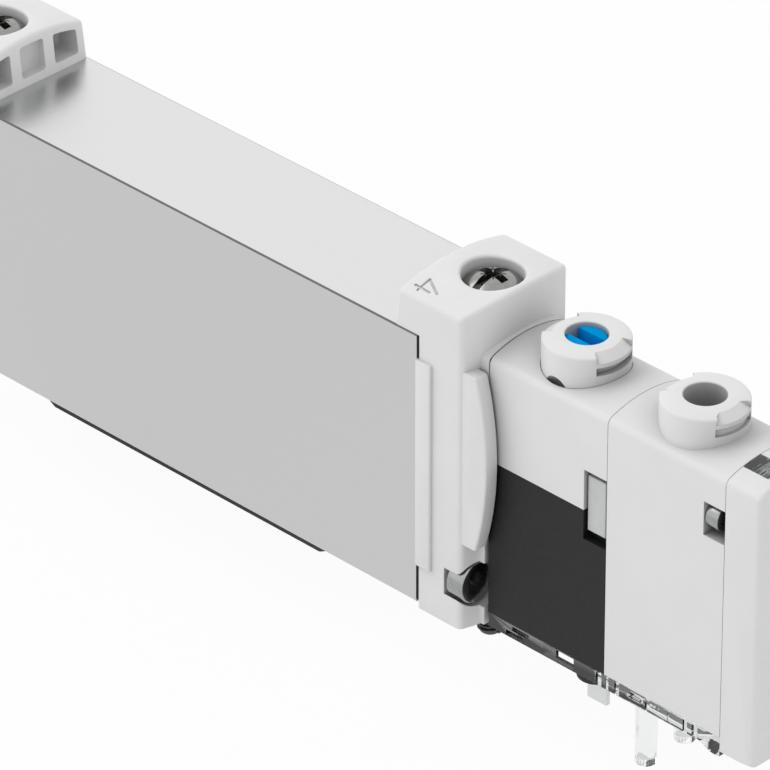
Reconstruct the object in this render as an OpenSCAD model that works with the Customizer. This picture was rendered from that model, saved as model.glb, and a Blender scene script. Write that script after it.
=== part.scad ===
// Sub-base solenoid valve, 14 mm wide: a metal spool body between two moulded
// caps, with a pilot valve, a blanking section and an end cover on one cap.
// X runs along the valve towards the pilot, Y across it, Z up.
// The origin lies midway between the two mounting screws, on the mounting face.

/* [Valve body] */
// Width of the metal body, across the station
body_w = 14; // [13.8:0.1:15]
// Length of the metal body, between the two cap seals
body_len = 60.4; // [59.6:0.1:64]
// Height of the metal body
body_h = 28.9; // [28.5:0.1:30]
// Radius of the body's long edges
body_edge = 0.2; // [0.1:0.05:0.4]
// Gap between the body's underside and the mounting face
seat_gap = 0.6; // [0.4:0.05:0.8]
// Diameter of the spool bore
bore_d = 8; // [7.8:0.1:8.4]
// Distance of the spool bore below the top of the body
bore_drop = 13.5; // [13.2:0.1:14]
// Distance between neighbouring ports
port_pitch = 7.6; // [7.4:0.1:7.7]
// Width of a port slot, along the body
port_w = 4; // [3.6:0.1:4.2]
// Length of a port slot, across the body
port_len = 8.4; // [7.4:0.1:9]
// Diameter of the annular groove round the bore at each port
chamber_d = 10; // [9.4:0.1:10.4]
// Diameter of the piston bore at the pilot end
piston_bore_d = 10.4; // [10:0.1:10.8]
// Depth of the piston bore
piston_bore_len = 7.5; // [7.2:0.1:7.8]

/* [Spool and return] */
// Travel of the spool
spool_travel = 3; // [2.6:0.1:3.1]
// Diameter of the spool between its collars
spool_rod_d = 4.4; // [3.6:0.1:4.8]
// Length of each spool collar
collar_len = 2.4; // [2:0.1:2.6]
// Width of each spool seal
spool_seal_w = 1.1; // [0.8:0.1:1.2]
// Thickness of the pilot piston
piston_t = 2.6; // [2.4:0.1:2.8]
// Wire diameter of the return spring
return_wire = 0.7; // [0.5:0.05:0.8]

/* [Caps] */
// How far a cap's sides stand in from the body's sides
cap_inset = 0.1; // [0:0.05:0.2]
// Thickness of a cap at its outer corners
cap_t = 5.25; // [5.2:0.05:5.6]
// Bow of a cap's outer face, at the middle
cap_bow = 1.15; // [1:0.05:1.3]
// Reach of the pilot cap over the top of the body
pilot_cap_reach = 3; // [2.8:0.1:3.4]
// Reach of the end cap over the top of the body
end_cap_reach = 2.4; // [2.2:0.1:3.4]
// Rise of a cap's upper edges above the body's top
cap_rise = 3.85; // [3.6:0.05:4.2]
// Rise of the arched top at the middle
cap_crown = 1.1; // [0.8:0.05:1.2]
// Draft of a cap's inner face, in degrees
cap_draft = 6.4; // [4:0.2:8]
// Thickness of the seal between a cap and the body
cap_seal_t = 0.25; // [0.15:0.05:0.35]
// Height of the side rib that covers each cap joint
rib_h = 22.2; // [18:0.1:23]
// How far the side rib stands out of the cap
rib_out = 0.35; // [0.25:0.05:0.5]
// Height of the guard lobes beside the pilot
lobe_h = 18.6; // [16:0.1:19]
// Gap between a guard lobe and the side of the pilot
lobe_gap = 0.2; // [0.1:0.05:0.4]
// Bulge of a guard lobe at its middle
lobe_bulge = 1.35; // [1:0.05:1.5]

/* [Screws] */
// Distance of a mounting screw beyond the end of the body
mount_offset = 2.8; // [2.7:0.05:2.9]
// Thread diameter of the mounting screws
mount_thread_d = 2.5; // [2.2:0.1:2.6]
// Head diameter of the mounting screws
mount_head_d = 5.6; // [5:0.1:5.7]
// Reach of the mounting screws below the mounting face
mount_reach = 4.5; // [4:0.1:6]
// Thread diameter of the cap screws
cap_thread_d = 2; // [1.6:0.1:2.2]
// Head diameter of the cap screws
cap_head_d = 4.5; // [4:0.1:4.6]
// Thread diameter of the long pilot screws
pilot_thread_d = 1.6; // [1.4:0.1:1.7]

/* [Pilot] */
// Width of the pilot sections
pilot_w = 9.8; // [9.6:0.1:10]
// Length of the pilot section that holds the coil
coil_section_len = 14.65; // [14.4:0.05:16]
// Length of the blanking section
blank_section_len = 14.3; // [13:0.1:16]
// Length of the end cover
end_cover_len = 4.15; // [3.6:0.05:6]
// Height of the pilot's upper edges above the mounting face
pilot_top = 29.15; // [29.1:0.05:30]
// Rise of the pilot's arched top at the middle
pilot_crown = 0.95; // [0.7:0.05:1.1]
// Height of the black coil block's upper edge above the mounting face
coil_top = 18.4; // [18.2:0.1:18.6]
// Underside of the pilot sections above the mounting face
pilot_base = 1.9; // [1.8:0.1:2]
// Thickness of the clear light guide under the pilot
guide_t = 1.5; // [1.3:0.1:1.6]
// Diameter of the light guide's pillars at their roots
pillar_d = 2.2; // [1.8:0.1:2.4]
// Reach of the pillars below the mounting face
pillar_reach = 7.1; // [5:0.1:9]
// Distance between the two pillars, across the valve
pillar_gap = 5.2; // [4.6:0.1:5.6]
// Reach of the contact blades below the mounting face
blade_reach = 4.1; // [3:0.1:6]
// Diameter of the coil winding
winding_d = 8.2; // [7:0.1:8.4]
// Diameter of the armature
armature_d = 4; // [3.8:0.1:4.2]
// Travel of the armature
armature_travel = 0.4; // [0.3:0.05:0.45]

/* [Manual override] */
// Diameter of the override ring
ring_d = 8.25; // [7.8:0.05:8.5]
// Height of the override ring's rim above the pilot's upper edges
ring_h = 3.85; // [3.6:0.05:4.2]
// Diameter of the hole in the ring
ring_hole_d = 4; // [3.8:0.05:4.1]
// Travel of the override plunger
override_travel = 1.2; // [0.8:0.1:1.3]
// Width of the screwdriver slot in the plunger
driver_slot_w = 1.45; // [1:0.05:1.6]
// Depth of the screwdriver slot in the plunger
driver_slot_depth = 1.6; // [1.2:0.1:2]
// Half angle of the stepped sector in the ring's wall, in degrees
ring_sector = 33; // [24:1:40]

/* [Hidden] */
$fn = 64;

fit = 0.05;                        // running clearance, on the radius
slip = 0.02;                       // clearance of parts that sit still in one another
eps = 0.02;                        // overshoot of a cut past the face it opens
arc_fn = 240;                      // facets of the long shallow arcs

// Radius of the arc with this rise over a chord of 2 * half
function arc_r(half, rise) = (half * half + rise * rise) / (2 * rise);

// Stations along the valve
body_x = body_len / 2;
mount_x = body_x + mount_offset;
cap_x0 = body_x + cap_seal_t;
cap_x1 = cap_x0 + cap_t;
cap_peak_x = cap_x1 + cap_bow;
flange_x1 = cap_peak_x + 0.45;
pilot_gasket_t = 0.15;
section_gap = 0.05;
coil_x0 = flange_x1 + pilot_gasket_t;
coil_x1 = coil_x0 + coil_section_len;
blank_x0 = coil_x1 + section_gap;
blank_x1 = blank_x0 + blank_section_len;
cover_x0 = blank_x1 + section_gap;
cover_x1 = cover_x0 + end_cover_len;
coil_x = (coil_x0 + coil_x1) / 2;
blank_x = (blank_x0 + blank_x1) / 2;

// Heights above the mounting face
body_z1 = seat_gap + body_h;
bore_z = body_z1 - bore_drop;
cap_edge_z = body_z1 + cap_rise;
cap_peak_z = cap_edge_z + cap_crown;
pilot_peak = pilot_top + pilot_crown;
ring_z1 = pilot_top + ring_h;
ring_seat = pilot_top - 0.3;

// Arcs of the caps and of the pilot's top
cap_half = body_w / 2 - cap_inset;
cap_w = 2 * cap_half;
cap_arch_r = arc_r(cap_half, cap_crown);
cap_bow_r = arc_r(cap_half, cap_bow);
pilot_half = pilot_w / 2;
pilot_arch_r = arc_r(pilot_half, pilot_crown);

// Ports and spool: each seal sits on a land, or half a pitch and one travel from it
half_pitch = port_pitch / 2;
port_x = [for (i = [-2:2]) i * port_pitch];
seal_x = [
    -5 * half_pitch, -3 * half_pitch + spool_travel, -half_pitch,
    half_pitch + spool_travel, 3 * half_pitch, 5 * half_pitch + spool_travel
];
port_r = 1.2;
collar_d = bore_d - 0.6;
spool_seal_d = bore_d - 0.06;
seal_groove_depth = 0.9;
spool_x0 = seal_x[0] - collar_len / 2;
piston_x1 = body_x - 0.3;
piston_x0 = piston_x1 - piston_t;
piston_groove_d = piston_bore_d - 2.2;
piston_groove_w = 1;
piston_groove_x = piston_x0 + (piston_t - piston_groove_w) / 2;
spigot_d = 2.4;
spigot_len = 1.6;
spring_guide_len = 1.5;

// Air passages between the body, the pilot cap and the pilot
passage_d = 1;
supply_y = -2.3;
supply_z = body_z1 - 7.1;
work_y = 2.3;
work_z = coil_top + 0.95;

// Base gasket, which reaches further towards the end cap
gasket_groove = 0.5;
gasket_w = body_w - 0.6;
gasket_lip = 0.4;
gasket_r = 0.6;
gasket_x0 = -2.5 * port_pitch - 1;
gasket_x1 = 2.5 * port_pitch - 0.6;
gasket_ramp = 1.2;

// Cap details
rib_len = 1.63;
rib_z0 = seat_gap + 4.2;
sink_d = mount_head_d + 0.3;
head_seat = body_z1 + 2.75;
mount_head_h = 2.1;
mount_edge_h = 0.9;
neck_step = 0.4;
tip_chamfer = 0.25;
cap_screw_y = cap_half - 1.94;
cap_screw_z = seat_gap + 3.9;
cap_head_h = 3;
cap_head_x = cap_peak_x - 0.15;
cap_seat_x = cap_head_x - cap_head_h;
pocket_d = cap_head_d + 0.3;
cap_thread_len = 5.7;
window_w = 3;
window_pitch = 4.3;
window_roof = 0.8;
window_sill = 0.9;
window_mid_x = body_x - 1.1;
window_side_x = body_x + 0.6;
lug_z0 = seat_gap - 0.4;
lug_x1 = cap_peak_x + 0.05;
lobe_z0 = seat_gap + 8.6;
lobe_y1 = cap_half - 0.2;
lobe_t = lobe_y1 - lobe_gap - pilot_half;
lobe_x1 = flange_x1 + 0.1 + lobe_bulge;

// Pilot details
guide_z1 = pilot_base - fit;
guide_z0 = guide_z1 - guide_t;
guide_half = pilot_half - fit;
screw_y = pilot_half - 1.4;
screw_z = pilot_top - 4.95;
screw_head_d = 2.7;
screw_head_h = 1.5;
notch_len = 2.55;
notch_h = 3.5;
notch_depth = 2.9;
screw_x1 = blank_x1 - 1;
screw_x0 = cap_seat_x + 1;
clip_len = 2.25;
clip_h = 5.85;
clip_t = 0.7;
clip_x1 = coil_x1 - 0.35;
clip_z0 = coil_top - 2.15;
recess_len = 2.8;
recess_h = 7.35;
recess_z0 = coil_top - 3.05;
recess_depth = 1;
window_y0 = -2.7;
window_y1 = -0.5;
window_depth = 1.6;
pipe_t = 1.4;
blade_t = 0.5;
blade_w = 2.4;
blade_y = 1.75;
blade_x = coil_x + 3.8;
contact_seal_d = 3.7;
contact_seal_x = blade_x + 0.2;
contact_seal_y = 2.3;
contact_seal_h = 1.25;
foot_r = 3;
foot_drop = 0.6;

// Coil stack, from the bottom of the coil block up
coil_floor = pilot_base + 0.8;
coil_room_x = 6.4;
coil_room_y = 3.4;
yoke_x = 5.9;
yoke_y = 3.2;
yoke_t = 1;
yoke_side_t = 0.8;
bobbin_z0 = coil_floor + fit + yoke_t + fit;
bobbin_z1 = coil_top - fit - yoke_t - fit;
bobbin_flange_t = 0.7;
bobbin_flange_d = winding_d + 0.3;
bobbin_bore_d = armature_d + 2 * fit;
bobbin_tube_d = bobbin_bore_d + 0.9;
core_spigot_d = armature_d - 1;
valve_room_d = armature_d + 1.2;
valve_room_z1 = coil_top + 1.6;
nozzle_wall = 0.6;
nozzle_d = 2.6;
nozzle_hole_d = 2.2;
nozzle_z0 = valve_room_z1 - 0.5;
armature_seal_d = armature_d - 0.8;
armature_seal_z1 = nozzle_z0 - fit;
armature_z1 = coil_top + 0.5;
armature_seal_z0 = armature_z1 - 0.5;
core_len = 5.2;
core_z1 = bobbin_z0 + core_len;
armature_z0 = core_z1 + armature_travel + 0.1;
armature_bore_d = 2.6;
armature_bore_len = 3.5;
core_bore_len = 2;
armature_wire = 0.3;

// Override stack
plunger_d = ring_hole_d - 2 * fit;
plunger_z1 = ring_z1 - 0.4;
sleeve_z0 = ring_seat - 0.95;
sleeve_d = ring_hole_d + 1.2;
button_bore_d = ring_hole_d + 0.6;
button_bore_z0 = valve_room_z1 + nozzle_wall;
collar_z1 = sleeve_z0 - fit;
collar_z0 = collar_z1 - 2.05;
override_collar_d = button_bore_d - 2 * fit;
seal_wire = 0.8;
seal_groove_z = collar_z0 + 0.95;
seal_groove_h = 0.9;
tip_d = 1.8;
tip_z0 = armature_seal_z1 + override_travel + 0.1;
override_wire = 0.45;
catch_depth = 1.25;

// Round bar along X, from x0 to x1
module rod_x(d, x0, x1, y = 0, z = 0) {
    translate([x0, y, z]) rotate([0, 90, 0]) cylinder(d = d, h = x1 - x0);
}

// Solid of revolution about the spool's axis, from a profile in radius and X
module turned_x() {
    translate([0, 0, bore_z]) rotate([0, 90, 0]) rotate_extrude() children();
}

// Slot with round corners, centred on X and Y
module round_slot(w, l, r, h) {
    translate([-w / 2 + r, -l / 2, 0]) cube([w - 2 * r, l, h]);
    translate([-w / 2, -l / 2 + r, 0]) cube([w, l - 2 * r, h]);
    for (x = [-1, 1], y = [-1, 1])
        translate([x * (w / 2 - r), y * (l / 2 - r), 0]) cylinder(r = r, h = h);
}

// Helical spring of round wire between z = 0 and z = len
module coil_spring(d, wire, len, turns) {
    steps = 14;
    sides = 6;
    n = steps * turns;
    mean = (d - wire) / 2;
    rise = (len - wire) / n;
    points = [
        for (i = [0:n], j = [0:sides - 1])
            let (a = 360 * i / steps, b = 360 * j / sides, r = mean + wire / 2 * cos(b))
            [r * cos(a), r * sin(a), wire / 2 + rise * i + wire / 2 * sin(b)]
    ];
    side_faces = [
        for (i = [0:n - 1], j = [0:sides - 1])
            let (k = (j + 1) % sides)
            [i * sides + j, i * sides + k, (i + 1) * sides + k, (i + 1) * sides + j]
    ];
    end_faces = [
        [for (j = [sides - 1:-1:0]) j],
        [for (j = [0:sides - 1]) n * sides + j]
    ];
    polyhedron(points, concat(side_faces, end_faces), convexity = 10);
}

// Six-lobe socket, cut downwards from z = 0
module six_lobe_socket(d, depth) {
    translate([0, 0, -depth]) cylinder(d = d * 0.72, h = depth + eps, $fn = 24);
    for (i = [0:5])
        rotate(60 * i) translate([d * 0.36, 0, -depth]) cylinder(d = d * 0.28, h = depth + eps, $fn = 16);
}

module valve_body() {
    color("lightgray") difference() {
        union() {
            translate([-body_x, -body_w / 2 + body_edge, seat_gap])
                cube([body_len, body_w - 2 * body_edge, body_h]);
            translate([-body_x, -body_w / 2, seat_gap + body_edge])
                cube([body_len, body_w, body_h - 2 * body_edge]);
            for (y = [-1, 1], z = [seat_gap + body_edge, body_z1 - body_edge])
                rod_x(2 * body_edge, -body_x, body_x, y * (body_w / 2 - body_edge), z);
        }
        rod_x(bore_d, -body_x - eps, body_x + eps, 0, bore_z);
        rod_x(piston_bore_d, body_x - piston_bore_len, body_x + eps, 0, bore_z);
        for (x = port_x) {
            rod_x(chamber_d, x - port_w / 2, x + port_w / 2, 0, bore_z);
            translate([x, 0, seat_gap - eps]) round_slot(port_w, port_len, port_r, bore_z - seat_gap);
        }
        translate([(gasket_x0 + gasket_x1) / 2, 0, seat_gap - eps])
            round_slot(gasket_x1 - gasket_x0 - 2 * (gasket_lip - fit), gasket_w - 2 * (gasket_lip - fit),
                gasket_r + fit, gasket_groove + eps);
        for (s = [-1, 1], y = [-1, 1])
            rod_x(cap_thread_d + 2 * slip, s * body_x - cap_thread_len - 1, s * body_x + cap_thread_len + 1,
                y * cap_screw_y, cap_screw_z);
        rod_x(passage_d, 0, body_x + eps, supply_y, supply_z);
        translate([0, supply_y, bore_z]) cylinder(d = passage_d, h = supply_z - bore_z);
    }
}

module spool() {
    color("silver") difference() {
        turned_x() {
            translate([0, spool_x0 - spring_guide_len]) square([spigot_d / 2, spring_guide_len + eps]);
            translate([0, spool_x0]) square([spool_rod_d / 2, piston_x0 - spool_x0]);
            translate([0, piston_x0 - eps]) square([spigot_d / 2, spigot_len + eps]);
            for (x = seal_x)
                translate([0, x - collar_len / 2]) square([collar_d / 2, collar_len]);
        }
        for (x = seal_x)
            turned_x() translate([collar_d / 2 - seal_groove_depth, x - spool_seal_w / 2])
                square([2, spool_seal_w]);
    }
}

module spool_seals() {
    lip = 0.25;
    inner = collar_d / 2 - seal_groove_depth + slip;
    outer = spool_seal_d / 2;
    half = spool_seal_w / 2;
    color([0.12, 0.12, 0.13]) for (x = seal_x)
        turned_x() polygon([
            [inner, x - half], [outer - lip, x - half], [outer, x - half + lip],
            [outer, x + half - lip], [outer - lip, x + half], [inner, x + half]
        ]);
}

module pilot_piston() {
    color("white") turned_x() difference() {
        translate([0, piston_x0]) square([piston_bore_d / 2 - 2 * fit, piston_t]);
        translate([-1, piston_x0 - 1]) square([1 + spigot_d / 2 + slip, spigot_len + 1]);
        translate([piston_groove_d / 2, piston_groove_x]) square([2, piston_groove_w]);
    }
}

module piston_seal() {
    inner = piston_groove_d / 2 + slip;
    outer = piston_bore_d / 2 - 0.03;
    x0 = piston_groove_x;
    x1 = x0 + piston_groove_w;
    lip = 0.3;
    color([0.12, 0.12, 0.13]) turned_x() polygon([
        [inner, x0], [outer - lip, x0], [outer, x0 + lip], [outer, x1 - lip], [outer - lip, x1], [inner, x1]
    ]);
}

module return_spring() {
    spring_x0 = -cap_x0 + fit;
    color("gainsboro") translate([spring_x0, 0, bore_z]) rotate([0, 90, 0])
        coil_spring(bore_d - 1.4, return_wire, spool_x0 - fit - spring_x0, 6);
}

module base_gasket() {
    h = seat_gap + gasket_groove;
    mid = (gasket_x0 + gasket_x1) / 2;
    color([0.1, 0.1, 0.1]) difference() {
        intersection() {
            translate([mid, 0, 0]) union() {
                round_slot(gasket_x1 - gasket_x0, gasket_w, gasket_r, seat_gap);
                round_slot(gasket_x1 - gasket_x0 - 2 * gasket_lip, gasket_w - 2 * gasket_lip, gasket_r, h);
            }
            translate([0, gasket_w, 0]) rotate([90, 0, 0]) linear_extrude(2 * gasket_w) polygon([
                [gasket_x0 + gasket_ramp, 0], [gasket_x1 - gasket_ramp, 0], [gasket_x1, seat_gap],
                [gasket_x1, h + 1], [gasket_x0, h + 1], [gasket_x0, seat_gap]
            ]);
        }
        for (x = port_x)
            translate([x, 0, -eps]) round_slot(port_w, port_len, port_r, h + 2 * eps);
    }
}

// One cap without its pilot features, for the end of the body towards +X
module cap_blank(reach) {
    z_mid = cap_peak_z - cap_arch_r;
    difference() {
        union() {
            intersection() {
                union() {
                    translate([cap_x0, -cap_half, 0]) cube([cap_t + 2, cap_w, cap_peak_z + 1]);
                    cap_overhang(reach);
                }
                rod_x(2 * cap_arch_r, 0, 2 * body_x, 0, z_mid, $fn = arc_fn);
                translate([cap_peak_x - cap_bow_r, 0, -1])
                    cylinder(r = cap_bow_r, h = cap_peak_z + 2, $fn = arc_fn);
            }
            for (s = [-1, 1]) side_rib(s);
        }
        translate([mount_x, 0, -1]) cylinder(d = mount_thread_d + 0.4, h = cap_peak_z + 2);
        translate([mount_x, 0, head_seat]) cylinder(d = sink_d, h = cap_peak_z);
        for (y = [-1, 1]) {
            rod_x(cap_thread_d + 0.3, cap_x0 - eps, cap_seat_x + eps, y * cap_screw_y, cap_screw_z);
            rod_x(pocket_d, cap_seat_x, cap_peak_x + 3, y * cap_screw_y, cap_screw_z);
        }
        cap_windows(reach);
    }
}

// Block over the body's top, with its drafted inner face
module cap_overhang(reach) {
    top = cap_peak_z + 1;
    foot = body_x - reach;
    translate([0, cap_half, 0]) rotate([90, 0, 0]) linear_extrude(cap_w) polygon([
        [foot, body_z1], [cap_x0 + 1, body_z1], [cap_x0 + 1, top],
        [foot + (top - body_z1) * tan(cap_draft), top]
    ]);
}

// Rib that covers the joint between body and cap
module side_rib(s) {
    y0 = cap_half - 0.4;
    y1 = cap_half + rib_out;
    lap = y1 - body_w / 2;
    translate([cap_x0, s > 0 ? y0 : -y1, rib_z0]) cube([rib_len, y1 - y0, rib_h]);
    translate([body_x, s > 0 ? y1 - lap : -y1, rib_z0]) cube([cap_seal_t + eps, lap, rib_h]);
}

// Three cored windows in the inner face, with tops that follow the arch
module cap_windows(reach) {
    x0 = body_x - reach - 1;
    z_mid = cap_peak_z - cap_arch_r;
    intersection() {
        rod_x(2 * (cap_arch_r - window_roof), 0, 2 * body_x, 0, z_mid, $fn = arc_fn);
        for (i = [-1:1])
            translate([x0, i * window_pitch - window_w / 2, body_z1 + window_sill])
                cube([(i == 0 ? window_mid_x : window_side_x) - x0, window_w, 10]);
    }
}

module end_cap() {
    color([0.88, 0.89, 0.89]) mirror([1, 0, 0]) cap_blank(end_cap_reach);
}

module pilot_cap() {
    color([0.88, 0.89, 0.89]) difference() {
        union() {
            cap_blank(pilot_cap_reach);
            pilot_bar(cap_x1, flange_x1, coil_top);
            difference() {
                translate([cap_x1, -pilot_half, lug_z0])
                    cube([lug_x1 - cap_x1, pilot_w, coil_top - lug_z0 + eps]);
                for (y = [-1, 1])
                    rod_x(pocket_d, cap_seat_x, flange_x1 + eps, y * cap_screw_y, cap_screw_z);
            }
            for (s = [-1, 1]) guard_lobe(s);
        }
        for (y = [-1, 1])
            rod_x(pilot_thread_d + 2 * slip, screw_x0 - 0.5, flange_x1 + eps, y * screw_y, screw_z);
        rod_x(passage_d, cap_x0 - eps, flange_x1 + eps, supply_y, supply_z);
        rod_x(passage_d, cap_x0 - eps, flange_x1 + eps, work_y, work_z);
    }
}

// D-shaped lobe that guards the side of the pilot
module guard_lobe(s) {
    r = arc_r(lobe_h / 2, lobe_bulge);
    y0 = s > 0 ? lobe_y1 - lobe_t : -lobe_y1;
    intersection() {
        translate([cap_x1 - 0.3, y0, lobe_z0]) cube([lobe_x1 - cap_x1 + 1, lobe_t, lobe_h]);
        translate([lobe_x1 - r, y0 - 1, lobe_z0 + lobe_h / 2]) rotate([-90, 0, 0])
            cylinder(r = r, h = lobe_t + 2, $fn = arc_fn);
    }
}

// Thin rubber seal between the body's end and a cap, for the end towards +X
module cap_seal_blank(window_d) {
    inset = 0.2;
    difference() {
        translate([body_x, -body_w / 2 + inset, seat_gap + inset])
            cube([cap_seal_t, body_w - 2 * inset, body_h - 2 * inset]);
        rod_x(window_d, body_x - eps, cap_x0 + eps, 0, bore_z);
        for (y = [-1, 1])
            rod_x(cap_thread_d + 0.3, body_x - eps, cap_x0 + eps, y * cap_screw_y, cap_screw_z);
    }
}

module pilot_cap_seal() {
    color([0.1, 0.1, 0.1]) difference() {
        cap_seal_blank(piston_bore_d);
        rod_x(passage_d, body_x - eps, cap_x0 + eps, supply_y, supply_z);
    }
}

module end_cap_seal() {
    color([0.1, 0.1, 0.1]) mirror([1, 0, 0]) cap_seal_blank(bore_d);
}

// Pan-head screw with a slot and a cross recess, head seat at z = 0
module mounting_screw() {
    dome_r = arc_r(mount_head_d / 2, mount_head_h - mount_edge_h);
    shank_len = head_seat + mount_reach;
    difference() {
        union() {
            translate([0, 0, -head_seat]) cylinder(d = mount_thread_d - neck_step, h = head_seat + eps);
            translate([0, 0, tip_chamfer - shank_len])
                cylinder(d = mount_thread_d, h = mount_reach - tip_chamfer);
            translate([0, 0, -shank_len])
                cylinder(d1 = mount_thread_d - 2 * tip_chamfer, d2 = mount_thread_d, h = tip_chamfer);
            intersection() {
                cylinder(d = mount_head_d, h = mount_head_h + 1);
                translate([0, 0, mount_head_h - dome_r]) sphere(r = dome_r, $fn = 96);
            }
        }
        translate([-0.4, -mount_head_d, mount_head_h - 0.9]) cube([0.8, 2 * mount_head_d, 2]);
        translate([-1.5, -0.4, mount_head_h - 1.4]) cube([3, 0.8, 2]);
        translate([-0.4, -1.5, mount_head_h - 1.4]) cube([0.8, 3, 2]);
    }
}

module mounting_screws() {
    color("silver") for (s = [-1, 1]) translate([s * mount_x, 0, head_seat]) mounting_screw();
}

module cap_screws() {
    shank_len = cap_seat_x - body_x + cap_thread_len;
    color([0.2, 0.2, 0.21]) for (s = [-1, 1], y = [-1, 1])
        translate([s * cap_head_x, y * cap_screw_y, cap_screw_z]) rotate([0, s * 90, 0]) difference() {
            union() {
                translate([0, 0, -cap_head_h]) cylinder(d = cap_head_d, h = cap_head_h);
                translate([0, 0, -cap_head_h - shank_len]) cylinder(d = cap_thread_d, h = shank_len + eps);
            }
            six_lobe_socket(2.4, 1.2);
        }
}

// Bar along X with the outline of the pilot sections and their arched top
module pilot_bar(x0, x1, z0, inset = 0) {
    z_mid = pilot_peak - pilot_arch_r;
    intersection() {
        translate([x0, -pilot_half + inset, z0]) cube([x1 - x0, pilot_w - 2 * inset, pilot_peak + 1 - z0]);
        union() {
            rod_x(2 * (pilot_arch_r - inset), x0 - 1, x1 + 1, 0, z_mid, $fn = arc_fn);
            translate([x0 - 1, -pilot_w, -20]) cube([x1 - x0 + 2, 2 * pilot_w, z_mid + 20]);
        }
    }
}

module pilot_gasket() {
    color([0.1, 0.1, 0.1]) difference() {
        pilot_bar(flange_x1, coil_x0, coil_top, 0.15);
        for (y = [-1, 1])
            rod_x(pilot_thread_d + 0.2, flange_x1 - eps, coil_x0 + eps, y * screw_y, screw_z);
        rod_x(passage_d, flange_x1 - eps, coil_x0 + eps, supply_y, supply_z);
        rod_x(passage_d, flange_x1 - eps, coil_x0 + eps, work_y, work_z);
    }
}

// Recesses for the retaining clips, in both sides at the end of the coil section
module clip_recesses() {
    for (s = [-1, 1])
        translate([coil_x1 - recess_len, s > 0 ? pilot_half - recess_depth : -pilot_half - 1, recess_z0])
            cube([recess_len + 1, recess_depth + 1, recess_h]);
}

module pilot_housing() {
    color([0.9, 0.91, 0.91]) difference() {
        pilot_bar(coil_x0, coil_x1, coil_top);
        translate([coil_x, 0, ring_seat]) cylinder(d = ring_d + 2 * fit, h = 5);
        translate([coil_x, 0, button_bore_z0]) cylinder(d = button_bore_d, h = pilot_peak);
        translate([coil_x, 0, sleeve_z0]) cylinder(d = sleeve_d + 2 * slip, h = pilot_peak);
        translate([coil_x, 0, nozzle_z0 - 1])
            cylinder(d = nozzle_hole_d, h = button_bore_z0 + 2 - nozzle_z0);
        translate([coil_x, 0, coil_top - 1]) difference() {
            cylinder(d = valve_room_d, h = valve_room_z1 - coil_top + 1);
            translate([0, 0, nozzle_z0 - coil_top + 1]) cylinder(d = nozzle_d, h = 5);
        }
        for (y = [-1, 1])
            rod_x(pilot_thread_d + 0.2, coil_x0 - eps, coil_x1 + eps, y * screw_y, screw_z);
        rod_x(passage_d, coil_x0 - eps, coil_x - 0.8, supply_y, supply_z);
        rod_x(passage_d, coil_x0 - eps, coil_x - 0.6, work_y, work_z);
        clip_recesses();
    }
}

// Wall of an override ring with its sloped rim, turned about its axis from z0 up
module ring_wall(z0) {
    r = ring_d / 2;
    wall_z1 = ring_z1 - 0.4;
    hole_r = ring_hole_d / 2;
    rotate_extrude() polygon([
        [hole_r, z0], [r, z0], [r, wall_z1 - 0.25], [r - 0.07, wall_z1 - 0.08], [r - 0.25, wall_z1],
        [hole_r + 0.3, ring_z1], [hole_r + 0.08, ring_z1 - 0.08], [hole_r, ring_z1 - 0.3]
    ]);
}

// Stepped sectors and catch slots of an override ring, centred on +X and -X
module ring_sector_cuts() {
    r = ring_d / 2;
    slot_z0 = ring_z1 - 1.95;
    slot_h = 0.95;
    slot_r = r - catch_depth;
    for (a = [0, 180]) rotate(a - ring_sector) {
        rotate_extrude(angle = 2 * ring_sector) polygon([
            [r - 0.3, slot_z0 + slot_h - eps], [r - 0.3, ring_z1 + 1], [r + 1, ring_z1 + 1],
            [r + 1, slot_z0 + slot_h - eps]
        ]);
        rotate_extrude(angle = 2 * ring_sector) translate([slot_r, slot_z0]) square([r, slot_h]);
    }
}

module override_ring() {
    color([0.91, 0.92, 0.92]) translate([coil_x, 0, 0]) difference() {
        union() {
            ring_wall(ring_seat);
            translate([0, 0, sleeve_z0]) cylinder(d = sleeve_d, h = 2);
        }
        translate([0, 0, sleeve_z0 - 1]) cylinder(d = ring_hole_d, h = 6);
        ring_sector_cuts();
        translate([0, -ring_d / 2 - 0.9, pilot_top + 0.3]) sphere(r = 1.5, $fn = 48);
    }
}

module override_plunger() {
    r = plunger_d / 2;
    collar_r = override_collar_d / 2;
    groove_r = button_bore_d / 2 - seal_wire - 0.06;
    groove_z0 = seal_groove_z - seal_groove_h / 2;
    groove_z1 = seal_groove_z + seal_groove_h / 2;
    color([0, 0.56, 0.86]) translate([coil_x, 0, 0]) difference() {
        rotate_extrude() polygon([
            [0, tip_z0], [tip_d / 2, tip_z0], [tip_d / 2, collar_z0], [collar_r, collar_z0],
            [collar_r, groove_z0], [groove_r, groove_z0], [groove_r, groove_z1], [collar_r, groove_z1],
            [collar_r, collar_z1], [r, collar_z1], [r, plunger_z1 - 0.15], [r - 0.15, plunger_z1],
            [0, plunger_z1]
        ]);
        translate([-ring_d, -driver_slot_w / 2, plunger_z1 - driver_slot_depth])
            cube([2 * ring_d, driver_slot_w, 5]);
    }
}

module override_seal() {
    centre_r = (button_bore_d - seal_wire) / 2 - 0.04;
    color([0.1, 0.1, 0.1]) translate([coil_x, 0, seal_groove_z])
        rotate_extrude() translate([centre_r, 0]) circle(d = seal_wire, $fn = 32);
}

module override_spring() {
    color("gainsboro") translate([coil_x, 0, button_bore_z0 + fit])
        coil_spring(button_bore_d - 0.4, override_wire, collar_z0 - button_bore_z0 - 2 * fit, 5);
}

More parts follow.
